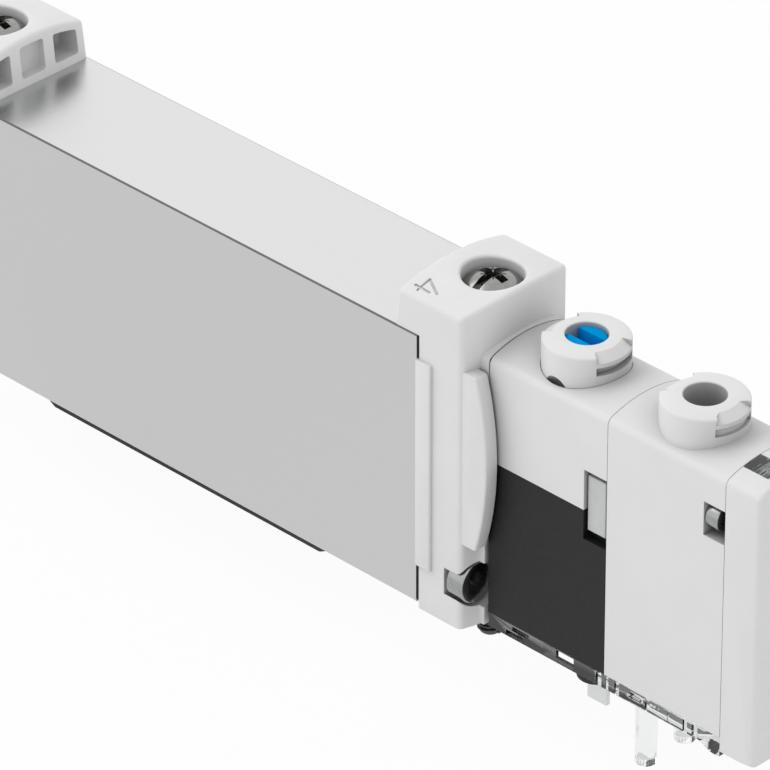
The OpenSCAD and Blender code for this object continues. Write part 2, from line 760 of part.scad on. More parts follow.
module coil_housing() {
    color([0.17, 0.18, 0.18]) difference() {
        translate([coil_x0, -pilot_half, pilot_base])
            cube([coil_section_len, pilot_w, coil_top - pilot_base]);
        translate([coil_x - coil_room_x, -coil_room_y, coil_floor])
            cube([2 * coil_room_x, 2 * coil_room_y, coil_top]);
        translate([coil_x, 0, coil_floor]) cylinder(d = bobbin_flange_d + 0.2, h = coil_top);
        clip_recesses();
        blade_slots(pilot_base - eps, coil_floor + eps);
    }
}

// Slots for the two contact blades
module blade_slots(z0, z1) {
    for (s = [-1, 1])
        translate([blade_x - blade_w / 2 - fit, s * blade_y - blade_t / 2 - fit, z0])
            cube([blade_w + 2 * fit, blade_t + 2 * fit, z1 - z0]);
}

module bobbin() {
    color("ivory") translate([coil_x, 0, 0]) difference() {
        union() {
            translate([0, 0, bobbin_z0]) cylinder(d = bobbin_tube_d, h = bobbin_z1 - bobbin_z0);
            for (z = [bobbin_z0, bobbin_z1 - bobbin_flange_t])
                translate([0, 0, z]) cylinder(d = bobbin_flange_d, h = bobbin_flange_t);
        }
        translate([0, 0, bobbin_z0 - 1]) cylinder(d = bobbin_bore_d, h = bobbin_z1);
    }
}

module winding() {
    len = bobbin_z1 - bobbin_z0 - 2 * bobbin_flange_t;
    color([0.72, 0.4, 0.2]) translate([coil_x, 0, bobbin_z0 + bobbin_flange_t]) difference() {
        cylinder(d = winding_d, h = len);
        translate([0, 0, -1]) cylinder(d = bobbin_tube_d + 2 * slip, h = len + 2);
    }
}

// Closed steel frame round the coil
module coil_yoke() {
    z0 = coil_floor + fit;
    h = coil_top - fit - z0;
    color("gray") translate([coil_x, 0, z0]) difference() {
        translate([-yoke_x, -yoke_y, 0]) cube([2 * yoke_x, 2 * yoke_y, h]);
        translate([-yoke_x + yoke_side_t, -yoke_y - 1, yoke_t])
            cube([2 * (yoke_x - yoke_side_t), 2 * yoke_y + 2, h - 2 * yoke_t]);
        translate([0, 0, -1]) cylinder(d = core_spigot_d + 2 * slip, h = yoke_t + 2);
        translate([0, 0, h - yoke_t - 1]) cylinder(d = valve_room_d, h = yoke_t + 2);
    }
}

module fixed_core() {
    color("silver") translate([coil_x, 0, 0]) difference() {
        union() {
            translate([0, 0, coil_floor + fit]) cylinder(d = core_spigot_d, h = yoke_t + fit + eps);
            translate([0, 0, bobbin_z0]) cylinder(d = armature_d, h = core_z1 - bobbin_z0);
        }
        translate([0, 0, core_z1 - core_bore_len]) cylinder(d = armature_bore_d, h = core_bore_len + 1);
    }
}

module armature() {
    color("silver") translate([coil_x, 0, 0]) difference() {
        translate([0, 0, armature_z0]) cylinder(d = armature_d, h = armature_z1 - armature_z0);
        translate([0, 0, armature_z0 - 1]) cylinder(d = armature_bore_d, h = armature_bore_len + 1);
        translate([0, 0, armature_seal_z0]) cylinder(d = armature_seal_d + 2 * slip, h = armature_z1);
    }
}

module armature_seal() {
    color([0.1, 0.1, 0.1]) translate([coil_x, 0, armature_seal_z0])
        cylinder(d = armature_seal_d, h = armature_seal_z1 - armature_seal_z0);
}

module armature_spring() {
    z0 = core_z1 - core_bore_len + fit;
    color("gainsboro") translate([coil_x, 0, z0])
        coil_spring(armature_bore_d - 0.2, armature_wire, armature_z0 + armature_bore_len - fit - z0, 8);
}

module retaining_clips() {
    y0 = pilot_half - recess_depth;
    color([0.72, 0.73, 0.74]) for (s = [-1, 1])
        translate([clip_x1 - clip_len, s > 0 ? y0 : -y0 - clip_t, clip_z0]) cube([clip_len, clip_t, clip_h]);
}

module blank_cover() {
    wall = 1;
    room_h = screw_z - 3.2 - pilot_base;
    color([0.9, 0.91, 0.91]) difference() {
        union() {
            pilot_bar(blank_x0, blank_x1, pilot_base);
            translate([blank_x, 0, 0]) ring_wall(ring_seat);
            translate([blank_x, 0, ring_seat]) cylinder(d = ring_hole_d + 1, h = ring_z1 - 2.6 - ring_seat);
        }
        translate([blank_x, 0, 0]) ring_sector_cuts();
        translate([blank_x0 + wall, -pilot_half + wall, pilot_base - 1])
            cube([blank_section_len - 2 * wall, pilot_w - 2 * wall, room_h + 1]);
        for (s = [-1, 1]) {
            rod_x(pilot_thread_d + 0.2, blank_x0 - eps, blank_x1 + eps, s * screw_y, screw_z);
            translate([blank_x1 - notch_len, s > 0 ? pilot_half - notch_depth : -pilot_half - 1,
                screw_z - notch_h / 2]) cube([notch_len + 1, notch_depth + 1, notch_h]);
        }
    }
}

module pilot_screws() {
    color([0.2, 0.2, 0.21]) for (y = [-1, 1])
        translate([screw_x1, y * screw_y, screw_z]) rotate([0, 90, 0]) difference() {
            union() {
                translate([0, 0, -screw_head_h]) cylinder(d = screw_head_d, h = screw_head_h);
                translate([0, 0, screw_x0 - screw_x1])
                    cylinder(d = pilot_thread_d, h = screw_x1 - screw_x0 - 1);
            }
            six_lobe_socket(1.6, 0.8);
        }
}

module end_cover() {
    slot_w = window_y1 - window_y0 + 2 * fit;
    color([0.9, 0.91, 0.91]) difference() {
        pilot_bar(cover_x0, cover_x1, guide_z0 + fit);
        translate([cover_x0 - 1, window_y0 - fit, pilot_peak - window_depth - 1])
            cube([end_cover_len + 2, slot_w, 10]);
        translate([cover_x0 - 1, window_y0 - fit, -10]) cube([pipe_t + 1 + 2 * fit, slot_w, pilot_peak + 9]);
    }
}

// Clear window in the end cover's top, with the light pipe that hangs from it
module indicator_window() {
    window_h = window_y1 - window_y0;
    color([0.8, 0.82, 0.84, 0.5]) intersection() {
        pilot_bar(cover_x0, cover_x1, guide_z0 + 0.1, 0.06);
        union() {
            translate([cover_x0 - 1, window_y0, pilot_peak - window_depth - 1 + fit])
                cube([end_cover_len + 2, window_h, 10]);
            translate([cover_x0 - 1, window_y0, -10]) cube([pipe_t + 1, window_h, pilot_peak + 8]);
        }
    }
}

// Clear plate under the pilot with its two pillars and a rounded foot
module light_guide() {
    plate_x0 = coil_x0 + fit;
    pillar_x = blank_x0 + 3.25;
    color([0.8, 0.85, 0.88, 0.5]) difference() {
        union() {
            translate([plate_x0, -guide_half, guide_z0])
                cube([blank_x1 - plate_x0, 2 * guide_half, guide_t]);
            for (s = [-1, 1])
                translate([pillar_x, s * pillar_gap / 2, -pillar_reach])
                    cylinder(d1 = pillar_d - 0.2, d2 = pillar_d, h = pillar_reach + guide_z0 + eps);
            intersection() {
                translate([blank_x1 - 4, -guide_half, guide_z0 - 1]) cube([4, 2 * guide_half, 1 + eps]);
                translate([blank_x1 - 0.6, -pilot_half, guide_z0 - foot_drop + foot_r]) rotate([-90, 0, 0])
                    cylinder(r = foot_r, h = pilot_w, $fn = 96);
            }
        }
        blade_slots(guide_z0 - eps, guide_z1 + eps);
        for (s = [-1, 1])
            rod_x(pocket_d, plate_x0 - 1, coil_x0 + 1, s * cap_screw_y, cap_screw_z);
    }
}

module contact_blades() {
    color("gold") for (s = [-1, 1])
        translate([blade_x - blade_w / 2, s * blade_y - blade_t / 2, -blade_reach])
            cube([blade_w, blade_t, blade_reach + coil_floor - 0.3]);
}

module contact_seals() {
    z0 = guide_z0 - contact_seal_h;
    color([0.1, 0.1, 0.1]) difference() {
        for (s = [-1, 1])
            translate([contact_seal_x, s * contact_seal_y, z0])
                cylinder(d = contact_seal_d, h = contact_seal_h);
        blade_slots(z0 - 1, guide_z0 + 1);
    }
}

valve_body();
base_gasket();
pilot_cap();
end_cap();
pilot_cap_seal();
end_cap_seal();
mounting_screws();
cap_screws();
spool();
spool_seals();
pilot_piston();
piston_seal();
return_spring();
pilot_gasket();
pilot_housing();
coil_housing();
bobbin();
winding();
coil_yoke();
fixed_core();
armature();
armature_seal();
armature_spring();
override_ring();
override_plunger();
override_seal();
override_spring();
retaining_clips();
blank_cover();
pilot_screws();
end_cover();
indicator_window();
light_guide();
contact_blades();
contact_seals();
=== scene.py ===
import math

import bmesh
import bpy
from mathutils import Matrix, Vector


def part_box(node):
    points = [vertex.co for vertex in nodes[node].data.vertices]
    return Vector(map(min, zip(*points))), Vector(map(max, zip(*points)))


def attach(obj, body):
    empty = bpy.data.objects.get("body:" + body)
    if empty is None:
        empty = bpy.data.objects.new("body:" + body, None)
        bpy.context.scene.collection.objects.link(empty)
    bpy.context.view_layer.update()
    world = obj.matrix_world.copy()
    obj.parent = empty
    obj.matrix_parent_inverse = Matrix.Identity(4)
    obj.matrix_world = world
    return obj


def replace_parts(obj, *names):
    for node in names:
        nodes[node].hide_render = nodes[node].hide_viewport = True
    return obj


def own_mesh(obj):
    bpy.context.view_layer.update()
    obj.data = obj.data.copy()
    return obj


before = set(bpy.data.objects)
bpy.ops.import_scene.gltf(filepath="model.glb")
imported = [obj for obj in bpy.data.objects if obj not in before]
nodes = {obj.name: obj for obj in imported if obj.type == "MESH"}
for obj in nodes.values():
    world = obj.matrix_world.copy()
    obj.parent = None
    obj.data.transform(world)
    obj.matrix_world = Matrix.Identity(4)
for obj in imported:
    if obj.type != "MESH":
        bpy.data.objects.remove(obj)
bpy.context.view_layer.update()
mm = 0.001
print("frame loaded:", len(nodes), "nodes")

# Camera: a long lens above the pilot end, looking along the body
shot = {"azimuth": 44.883, "elevation": 31.930, "distance": 767.741,
        "aim": (18.1815, 1.0118, 15.3601), "lens": 386.465}


def placeCamera(shot):
    azimuth, elevation = math.radians(shot["azimuth"]), math.radians(shot["elevation"])
    look = Vector((-math.sin(azimuth) * math.cos(elevation), math.cos(azimuth) * math.cos(elevation),
                   -math.sin(elevation)))
    right = Vector((math.cos(azimuth), math.sin(azimuth), 0))
    up = right.cross(look)
    camera = bpy.data.objects.new("shotCamera", bpy.data.cameras.new("shotCamera"))
    bpy.context.scene.collection.objects.link(camera)
    camera.data.lens = shot["lens"]
    camera.data.sensor_width = 36
    camera.data.clip_start, camera.data.clip_end = 0.05, 20
    turn = Matrix((right, up, -look)).transposed().to_4x4()
    camera.matrix_world = Matrix.Translation(Vector(shot["aim"]) * mm - look * shot["distance"] * mm) @ turn
    bpy.context.scene.camera = camera


placeCamera(shot)
bpy.context.scene.view_settings.view_transform = "Standard"
print("camera placed")


# Finishes

def linear(hexText):
    channels = [int(hexText[i:i + 2], 16) / 255 for i in (1, 3, 5)]
    return [c / 12.92 if c <= 0.04045 else ((c + 0.055) / 1.055) ** 2.4 for c in channels] + [1.0]


def addNode(tree, kind, settings=None, inputs=None):
    node = tree.nodes.new("ShaderNode" + kind)
    for name, value in (settings or {}).items():
        setattr(node, name, value)
    for name, value in (inputs or {}).items():
        if isinstance(value, bpy.types.NodeSocket):
            tree.links.new(value, node.inputs[name])
        else:
            node.inputs[name].default_value = value
    return node


def newFinish(name):
    finish = bpy.data.materials.new(name)
    finish.use_nodes = True
    tree = finish.node_tree
    tree.nodes.clear()
    place = addNode(tree, "TexCoord").outputs["Object"]
    return finish, tree, place


def close(tree, shader):
    addNode(tree, "OutputMaterial", inputs={"Surface": shader.outputs["BSDF"]})


def mouldedPlastic(name, look):
    # eye: matt and even, a faint cloudiness of the melt, a fine sparked grain that breaks the highlights,
    # and painted shade that darkens the colour in nooks
    finish, tree, place = newFinish(name)
    cloud = addNode(tree, "TexNoise", inputs={"Vector": place, "Scale": 1 / (look["cloud"] * mm), "Detail": 2.0})
    tone = addNode(tree, "ValToRGB", inputs={"Fac": cloud.outputs["Fac"]})
    tone.color_ramp.elements[0].position, tone.color_ramp.elements[1].position = 0.35, 0.65
    tone.color_ramp.elements[0].color, tone.color_ramp.elements[1].color = linear(look["shade"]), linear(look["colour"])
    grain = addNode(tree, "TexNoise", inputs={"Vector": place, "Scale": 1 / (look["grain"] * mm), "Detail": 3.0})
    dull = addNode(tree, "MapRange", inputs={"Value": grain.outputs["Fac"], "From Min": 0.3, "From Max": 0.7,
                                              "To Min": look["roughness"] - 0.05, "To Max": look["roughness"] + 0.05})
    # painted shade: ambient occlusion darkens the colour towards deep in nooks
    corner = addNode(tree, "AmbientOcclusion", {"samples": 8}, {"Distance": look["nook"] * mm})
    nook = addNode(tree, "ValToRGB", inputs={"Fac": corner.outputs["AO"]})
    nook.color_ramp.elements[0].color, nook.color_ramp.elements[1].color = linear(look["deep"]), linear("#FFFFFF")
    toneWithNookShade = addNode(tree, "MixRGB", {"blend_type": "MULTIPLY"},
                   {"Fac": 1.0, "Color1": tone.outputs["Color"], "Color2": nook.outputs["Color"]})
    soft = addNode(tree, "Bevel", {"samples": 4}, {"Radius": look["round"] * mm})  # small mould radii at the edges
    bump = addNode(tree, "Bump", inputs={"Height": grain.outputs["Fac"], "Strength": look["relief"],
                                         "Distance": look["grain"] * mm * 0.2, "Normal": soft.outputs["Normal"]})
    shader = addNode(tree, "BsdfPrincipled", inputs={
        "Base Color": toneWithNookShade.outputs["Color"], "Roughness": dull.outputs["Result"], "IOR": look["ior"],
        "Specular IOR Level": look["gloss"], "Normal": bump.outputs["Normal"]})
    close(tree, shader)
    return finish


def drawnMetal(name, look):
    # eye: fine lines that run one way, brighter and duller streaks side by side, a soft reflection
    finish, tree, place = newFinish(name)
    pull = addNode(tree, "Mapping", inputs={"Vector": place, "Scale": look["stretch"]})
    lines = addNode(tree, "TexNoise", inputs={"Vector": pull.outputs["Vector"], "Scale": 1 / (look["line"] * mm),
                                              "Detail": 4.0, "Roughness": 0.6})
    tone = addNode(tree, "ValToRGB", inputs={"Fac": lines.outputs["Fac"]})
    tone.color_ramp.elements[0].position, tone.color_ramp.elements[1].position = 0.3, 0.7
    tone.color_ramp.elements[0].color, tone.color_ramp.elements[1].color = linear(look["shade"]), linear(look["colour"])
    dull = addNode(tree, "MapRange", inputs={"Value": lines.outputs["Fac"], "From Min": 0.3, "From Max": 0.7,
                                              "To Min": look["roughness"] - look["spread"],
                                              "To Max": look["roughness"] + look["spread"]})
    bump = addNode(tree, "Bump", inputs={"Height": lines.outputs["Fac"], "Strength": look["relief"],
                                         "Distance": look["line"] * mm * 0.1})
    shader = addNode(tree, "BsdfPrincipled", inputs={
        "Base Color": tone.outputs["Color"], "Metallic": 1.0, "Roughness": dull.outputs["Result"],
        "Normal": bump.outputs["Normal"]})
    close(tree, shader)
    return finish


def mouldedRubber(name, look):
    # eye: near black, dusty, no clear reflection
    finish, tree, place = newFinish(name)
    dust = addNode(tree, "TexNoise", inputs={"Vector": place, "Scale": 1 / (look["grain"] * mm), "Detail": 4.0})
    tone = addNode(tree, "ValToRGB", inputs={"Fac": dust.outputs["Fac"]})
    tone.color_ramp.elements[0].position, tone.color_ramp.elements[1].position = 0.4, 0.75
    tone.color_ramp.elements[0].color, tone.color_ramp.elements[1].color = linear(look["colour"]), linear(look["dust"])
    bump = addNode(tree, "Bump", inputs={"Height": dust.outputs["Fac"], "Strength": 0.3,
                                         "Distance": look["grain"] * mm * 0.1})
    shader = addNode(tree, "BsdfPrincipled", inputs={
        "Base Color": tone.outputs["Color"], "Roughness": 0.72, "IOR": 1.5, "Normal": bump.outputs["Normal"]})
    close(tree, shader)
    return finish


def clearPlastic(name, look):
    # eye: water clear with dark edges, faint flow waves from moulding that bend what is seen through it
    finish, tree, place = newFinish(name)
    flow = addNode(tree, "TexNoise", inputs={"Vector": place, "Scale": 1 / (look["flow"] * mm), "Detail": 1.0})
    haze = addNode(tree, "MapRange", inputs={"Value": flow.outputs["Fac"], "From Min": 0.3, "From Max": 0.7,
                                              "To Min": 0.01, "To Max": look["haze"]})
    bump = addNode(tree, "Bump", inputs={"Height": flow.outputs["Fac"], "Strength": 0.25,
                                         "Distance": look["flow"] * mm * 0.02})
    shader = addNode(tree, "BsdfPrincipled", inputs={
        "Base Color": linear(look["colour"]), "Roughness": haze.outputs["Result"], "IOR": 1.585,
        "Transmission Weight": 1.0, "Normal": bump.outputs["Normal"]})
    rays = addNode(tree, "LightPath")  # lamps reach what lies behind it
    clear = addNode(tree, "BsdfTransparent", inputs={"Color": linear(look["colour"])})
    both = addNode(tree, "MixShader", inputs={0: rays.outputs["Is Shadow Ray"], 1: shader.outputs["BSDF"],
                                              2: clear.outputs["BSDF"]})
    addNode(tree, "OutputMaterial", inputs={"Surface": both.outputs[0]})
    return finish


def woundWire(name, look):
    # eye: even turns of lacquered wire, a painted highlight along each turn and painted shade between them
    finish, tree, place = newFinish(name)
    turns = addNode(tree, "TexWave", {"wave_type": "BANDS", "bands_direction": "Z", "wave_profile": "SIN"},
                    {"Vector": place, "Scale": 0.314 / (look["wire"] * mm), "Distortion": 0.4, "Detail": 1.0})
    tone = addNode(tree, "ValToRGB", inputs={"Fac": turns.outputs["Fac"]})
    tone.color_ramp.elements[0].color, tone.color_ramp.elements[1].color = linear(look["shade"]), linear(look["colour"])
    bump = addNode(tree, "Bump", inputs={"Height": turns.outputs["Fac"], "Strength": 0.8,
                                         "Distance": look["wire"] * mm * 0.4})
    shader = addNode(tree, "BsdfPrincipled", inputs={
        "Base Color": tone.outputs["Color"], "Metallic": 1.0, "Roughness": 0.28, "Coat Weight": 0.6,
        "Normal": bump.outputs["Normal"]})
    close(tree, shader)
    return finish


# each moulded plastic gets painted shade in its nooks: nook is how far it reaches, deep its darkest colour
capPlastic = mouldedPlastic("mouldedPbtCap", {  # even warm white, matt, with a faint sparkle of glass fibre
    "colour": "#F1F2F1", "shade": "#EEEFEE", "cloud": 4, "grain": 0.22, "relief": 0.25, "roughness": 0.62,
    "round": 0.09, "nook": 5, "deep": "#C8C8C8", "ior": 1.55, "gloss": 0.4})
pilotPlastic = mouldedPlastic("mouldedPbtPilot", {  # the same white, with deeper painted shade in its corners
    "colour": "#F1F2F1", "shade": "#EFF0EF", "cloud": 5, "grain": 0.18, "relief": 0.2, "roughness": 0.6,
    "round": 0.05, "nook": 8, "deep": "#828282", "ior": 1.55, "gloss": 0.4})
coilPlastic = mouldedPlastic("mouldedPbtBlack", {  # soft black with a broad dull sheen
    "colour": "#1F2120", "shade": "#1C1E1D", "cloud": 3, "grain": 0.2, "relief": 0.3, "roughness": 0.5,
    "round": 0.1, "nook": 2, "deep": "#C0C0C0", "ior": 1.55, "gloss": 0.2})
clipPlastic = mouldedPlastic("mouldedNylonClip", {  # waxy grey white
    "colour": "#D4D6D5", "shade": "#CDCFCE", "cloud": 2, "grain": 0.2, "relief": 0.2, "roughness": 0.5,
    "round": 0.06, "nook": 2, "deep": "#C0C0C0", "ior": 1.53, "gloss": 0.5})
buttonPlastic = mouldedPlastic("mouldedPomBlue", {  # strong even blue, almost no mirror
    "colour": "#00A2EA", "shade": "#009CE4", "cloud": 2, "grain": 0.16, "relief": 0.12, "roughness": 0.38,
    "round": 0.05, "nook": 1, "deep": "#F4F4F4", "ior": 1.48, "gloss": 0.0})
bobbinPlastic = mouldedPlastic("mouldedNylonNatural", {  # cream, a little uneven
    "colour": "#EAE3D2", "shade": "#DFD6C2", "cloud": 3, "grain": 0.2, "relief": 0.2, "roughness": 0.5,
    "round": 0.06, "nook": 2, "deep": "#C0C0C0", "ior": 1.53, "gloss": 0.5})
bodyMetal = drawnMetal("anodisedAluminiumExtruded", {  # lines drawn at 0.35 mm: real ones are ten times finer
    "colour": "#C9CAC9", "shade": "#C8C9C8", "line": 0.35, "stretch": (0.03, 1, 1), "relief": 0.006,
    "roughness": 0.28, "spread": 0.005})
edgeMetal = drawnMetal("anodisedAluminiumPaintedDarkEdge", {  # painted dark reflection: a dull dark finish that draws the edge as a thin dark line
    "colour": "#868887", "shade": "#7E807F", "line": 0.35, "stretch": (0.03, 1, 1), "relief": 0.006,
    "roughness": 0.9, "spread": 0.01})
spoolMetal = drawnMetal("turnedAluminium", {  # bright with fine rings round it
    "colour": "#E2E3E3", "shade": "#D2D4D4", "line": 0.2, "stretch": (1, 0.05, 0.05), "relief": 0.25,
    "roughness": 0.28, "spread": 0.05})
screwMetal = drawnMetal("zincPlatedSteelHeaded", {  # smooth, clear bright and dark reflections
    "colour": "#8E8E8D", "shade": "#828281", "line": 0.6, "stretch": (1, 1, 1), "relief": 0.05,
    "roughness": 0.24, "spread": 0.03})
threadMetal = drawnMetal("zincPlatedSteelThreadPaintedDark", {  # painted dark reflection and shade: darker than the head
    "colour": "#5A5A5A", "shade": "#484848", "line": 0.6, "stretch": (1, 1, 1), "relief": 0.05,
    "roughness": 0.28, "spread": 0.03})
darkMetal = drawnMetal("blackOxideSteelHeaded", {  # thin oiled film over steel, sharp highlights
    "colour": "#A4A5A5", "shade": "#989999", "line": 0.5, "stretch": (1, 1, 1), "relief": 0.04,
    "roughness": 0.24, "spread": 0.03})
springMetal = drawnMetal("springSteelDrawn", {  # bright wire, highlights along it
    "colour": "#C4C5C6", "shade": "#A9AAAB", "line": 0.15, "stretch": (1, 1, 1), "relief": 0.2,
    "roughness": 0.25, "spread": 0.05})
magnetMetal = drawnMetal("magnetSteelMachined", {  # duller steel with tool marks
    "colour": "#B4B5B5", "shade": "#9A9B9B", "line": 0.25, "stretch": (0.1, 1, 1), "relief": 0.25,
    "roughness": 0.34, "spread": 0.06})
contactMetal = drawnMetal("tinPlatedBronzeStamped", {  # pale and even, blurred mirror
    "colour": "#DEDFDF", "shade": "#D6D7D7", "line": 0.3, "stretch": (1, 1, 1), "relief": 0.03,
    "roughness": 0.32, "spread": 0.03})
# soot black seals, clear plastic tinted with painted shade as dark as what lies behind it, and reddish turns of wire
sealRubber = mouldedRubber("nitrileRubberMoulded", {"colour": "#202120", "dust": "#333433", "grain": 0.25})
guidePlastic = clearPlastic("clearPolycarbonateGuide", {"colour": "#F4F6F5", "flow": 1.6, "haze": 0.04})
# painted shade: a dark and a grey copy of the clear plastic for the plate
guidePaintedShade = clearPlastic("clearPolycarbonatePaintedShade", {"colour": "#424544", "flow": 1.6, "haze": 0.04})
guidePaintedGrey = clearPlastic("clearPolycarbonatePlate", {"colour": "#B2B5B4", "flow": 1.6, "haze": 0.04})
windowPlastic = clearPlastic("clearPolycarbonateWindow", {"colour": "#D6DAD9", "flow": 1.2, "haze": 0.05})
coilWire = woundWire("enamelledCopperWound", {"colour": "#C8743C", "shade": "#6B2F12", "wire": 0.2})
print("finishes made")


# Mesh work

# New piece from a bmesh
def finished(name, bm, material, body="valve"):
    mesh = bpy.data.meshes.new(name)
    bm.to_mesh(mesh)
    bm.free()
    piece = bpy.data.objects.new(name, mesh)
    bpy.context.scene.collection.objects.link(piece)
    mesh.materials.clear()
    mesh.materials.append(material)
    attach(piece, body)
    smoothed(mesh)
    return piece


def smoothed(mesh, angle=30):
    mesh.shade_smooth()
    mesh.set_sharp_from_angle(angle=math.radians(angle))


# Moves what one bmesh holds into another
def gather(bm, part):
    mesh = bpy.data.meshes.new("part")
    part.to_mesh(mesh)
    part.free()
    bm.from_mesh(mesh)
    bpy.data.meshes.remove(mesh)
    return bm


# Runs change(bm) on a finished piece's mesh
def reshaped(piece, change):
    bm = bmesh.new()
    bm.from_mesh(piece.data)
    change(bm)
    bm.to_mesh(piece.data)
    bm.free()
    return piece


# Box between two corners
def boxed(low, high):
    bm = bmesh.new()
    size = Vector(high) - Vector(low)
    middle = (Vector(high) + Vector(low)) / 2
    bmesh.ops.create_cube(bm, size=1, matrix=Matrix.Translation(middle * mm) @ Matrix.Diagonal((*(size * mm), 1)))
    return bm


# Closed outline in X and Z, pulled out between two values of Y
def pulled(outline, low, high):
    bm = bmesh.new()
    face = bm.faces.new([bm.verts.new((x * mm, low * mm, z * mm)) for x, z in outline])
    made = bmesh.ops.extrude_face_region(bm, geom=[face])["geom"]
    bmesh.ops.translate(bm, verts=[v for v in made if isinstance(v, bmesh.types.BMVert)],
                        vec=(0, (high - low) * mm, 0))
    bmesh.ops.recalc_face_normals(bm, faces=bm.faces)
    return bm


# Profile in radius and height, turned about Z
def turned(profile, steps=72, angle=360, start=0, loop=False):
    bm = bmesh.new()
    corners = [bm.verts.new((radius * mm, 0, height * mm)) for radius, height in profile]
    pairs = list(zip(corners, corners[1:])) + ([(corners[-1], corners[0])] if loop else [])
    edges = [bm.edges.new(pair) for pair in pairs]
    full = angle == 360
    bmesh.ops.spin(bm, geom=corners + edges, cent=(0, 0, 0), axis=(0, 0, 1), angle=math.radians(angle), steps=steps,
                   use_merge=full)
    bmesh.ops.remove_doubles(bm, verts=bm.verts, dist=0.0005 * mm)
    if not full:
        bmesh.ops.holes_fill(bm, edges=[edge for edge in bm.edges if edge.is_boundary])
    bmesh.ops.rotate(bm, verts=bm.verts, cent=(0, 0, 0), matrix=Matrix.Rotation(math.radians(start), 3, "Z"))
    bmesh.ops.recalc_face_normals(bm, faces=bm.faces)
    return bm


# Profile in radius and X, turned about the X axis
def turnedAlong(profile, steps):
    bm = turned(profile, steps)
    bmesh.ops.rotate(bm, verts=bm.verts, cent=(0, 0, 0), matrix=Matrix.Rotation(math.radians(90), 3, "Y"))
    return bm


def moved(bm, x, y=0, z=0):
    bmesh.ops.translate(bm, verts=bm.verts, vec=(x * mm, y * mm, z * mm))
    return bm


# Rounds the edges that pick(middle, direction) chooses, with lengths in mm
def rounded(bm, width, pick, segments=5):
    edges = []
    for edge in bm.edges:
        start, end = edge.verts[0].co, edge.verts[1].co
        if pick((start + end) / (2 * mm), (end - start).normalized()):
            edges.append(edge)
    bmesh.ops.bevel(bm, geom=edges, offset=width * mm, offset_type="OFFSET", affect="EDGES", segments=segments,
                    profile=0.5, material=-1, clamp_overlap=True)
    return bm


# How far an arc of this radius has fallen at this distance from its peak
def fall(away, radius):
    return radius - math.sqrt(radius * radius - away * away)


# Bends the upper part of a shape down its sides, along an arc of this radius over Y
def arched(bm, radius, above, cuts=0):
    reach = max(abs(vert.co.y) for vert in bm.verts)
    for i in range(1, cuts):
        bmesh.ops.bisect_plane(bm, geom=bm.verts[:] + bm.edges[:] + bm.faces[:], plane_no=(0, 1, 0),
                               plane_co=(0, reach * (2 * i / cuts - 1), 0))
    for vert in bm.verts:
        if vert.co.z > above * mm:
            vert.co.z -= fall(vert.co.y / mm, radius) * mm
    return bm


# Takes the cutter's shape out of the piece
def carved(piece, cutter):
    mesh = bpy.data.meshes.new("cutter")
    cutter.to_mesh(mesh)
    cutter.free()
    tool = bpy.data.objects.new("cutter", mesh)
    bpy.context.scene.collection.objects.link(tool)
    cut = piece.modifiers.new("cut", "BOOLEAN")
    cut.operation, cut.solver, cut.use_self, cut.object = "DIFFERENCE", "EXACT", True, tool
    bpy.context.view_layer.update()
    result = bpy.data.meshes.new_from_object(piece.evaluated_get(bpy.context.evaluated_depsgraph_get()))
    piece.modifiers.clear()
    piece.data = result
    bpy.data.objects.remove(tool)
    smoothed(result)
    return piece


# Copy of a CAD node with its edges rounded by up to this width
def softened(nodeName, pieceName, material, width, body="valve", segments=3):
    bm = bmesh.new()
    bm.from_mesh(nodes[nodeName].data)
    bmesh.ops.remove_doubles(bm, verts=bm.verts, dist=0.001 * mm)
    bmesh.ops.dissolve_limit(bm, angle_limit=math.radians(0.5), verts=bm.verts, edges=bm.edges)
    weights = bm.edges.layers.float.new("bevel_weight_edge")
    for edge in bm.edges:
        if len(edge.link_faces) == 2 and edge.calc_face_angle(0) > math.radians(24):
            edge[weights] = 1
    piece = finished(pieceName, bm, material, body)
    if width:
        bevel = piece.modifiers.new("rounding", "BEVEL")
        bevel.limit_method = "WEIGHT"
        bevel.width = width * mm
        bevel.segments = segments
        bevel.use_clamp_overlap = False
    piece.modifiers.new("flatFaces", "WEIGHTED_NORMAL").keep_sharp = True
    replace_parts(piece, nodeName)
    return piece


# What all pilot sections share: half their width, the peak and radius of the arched top, the two rings' places
pilotLook = {"half": 4.9, "peak": 30.1, "arch": 13.112, "archFrom": 25, "long": 0.55, "coilX": 44.775, "blankX": 59.3}

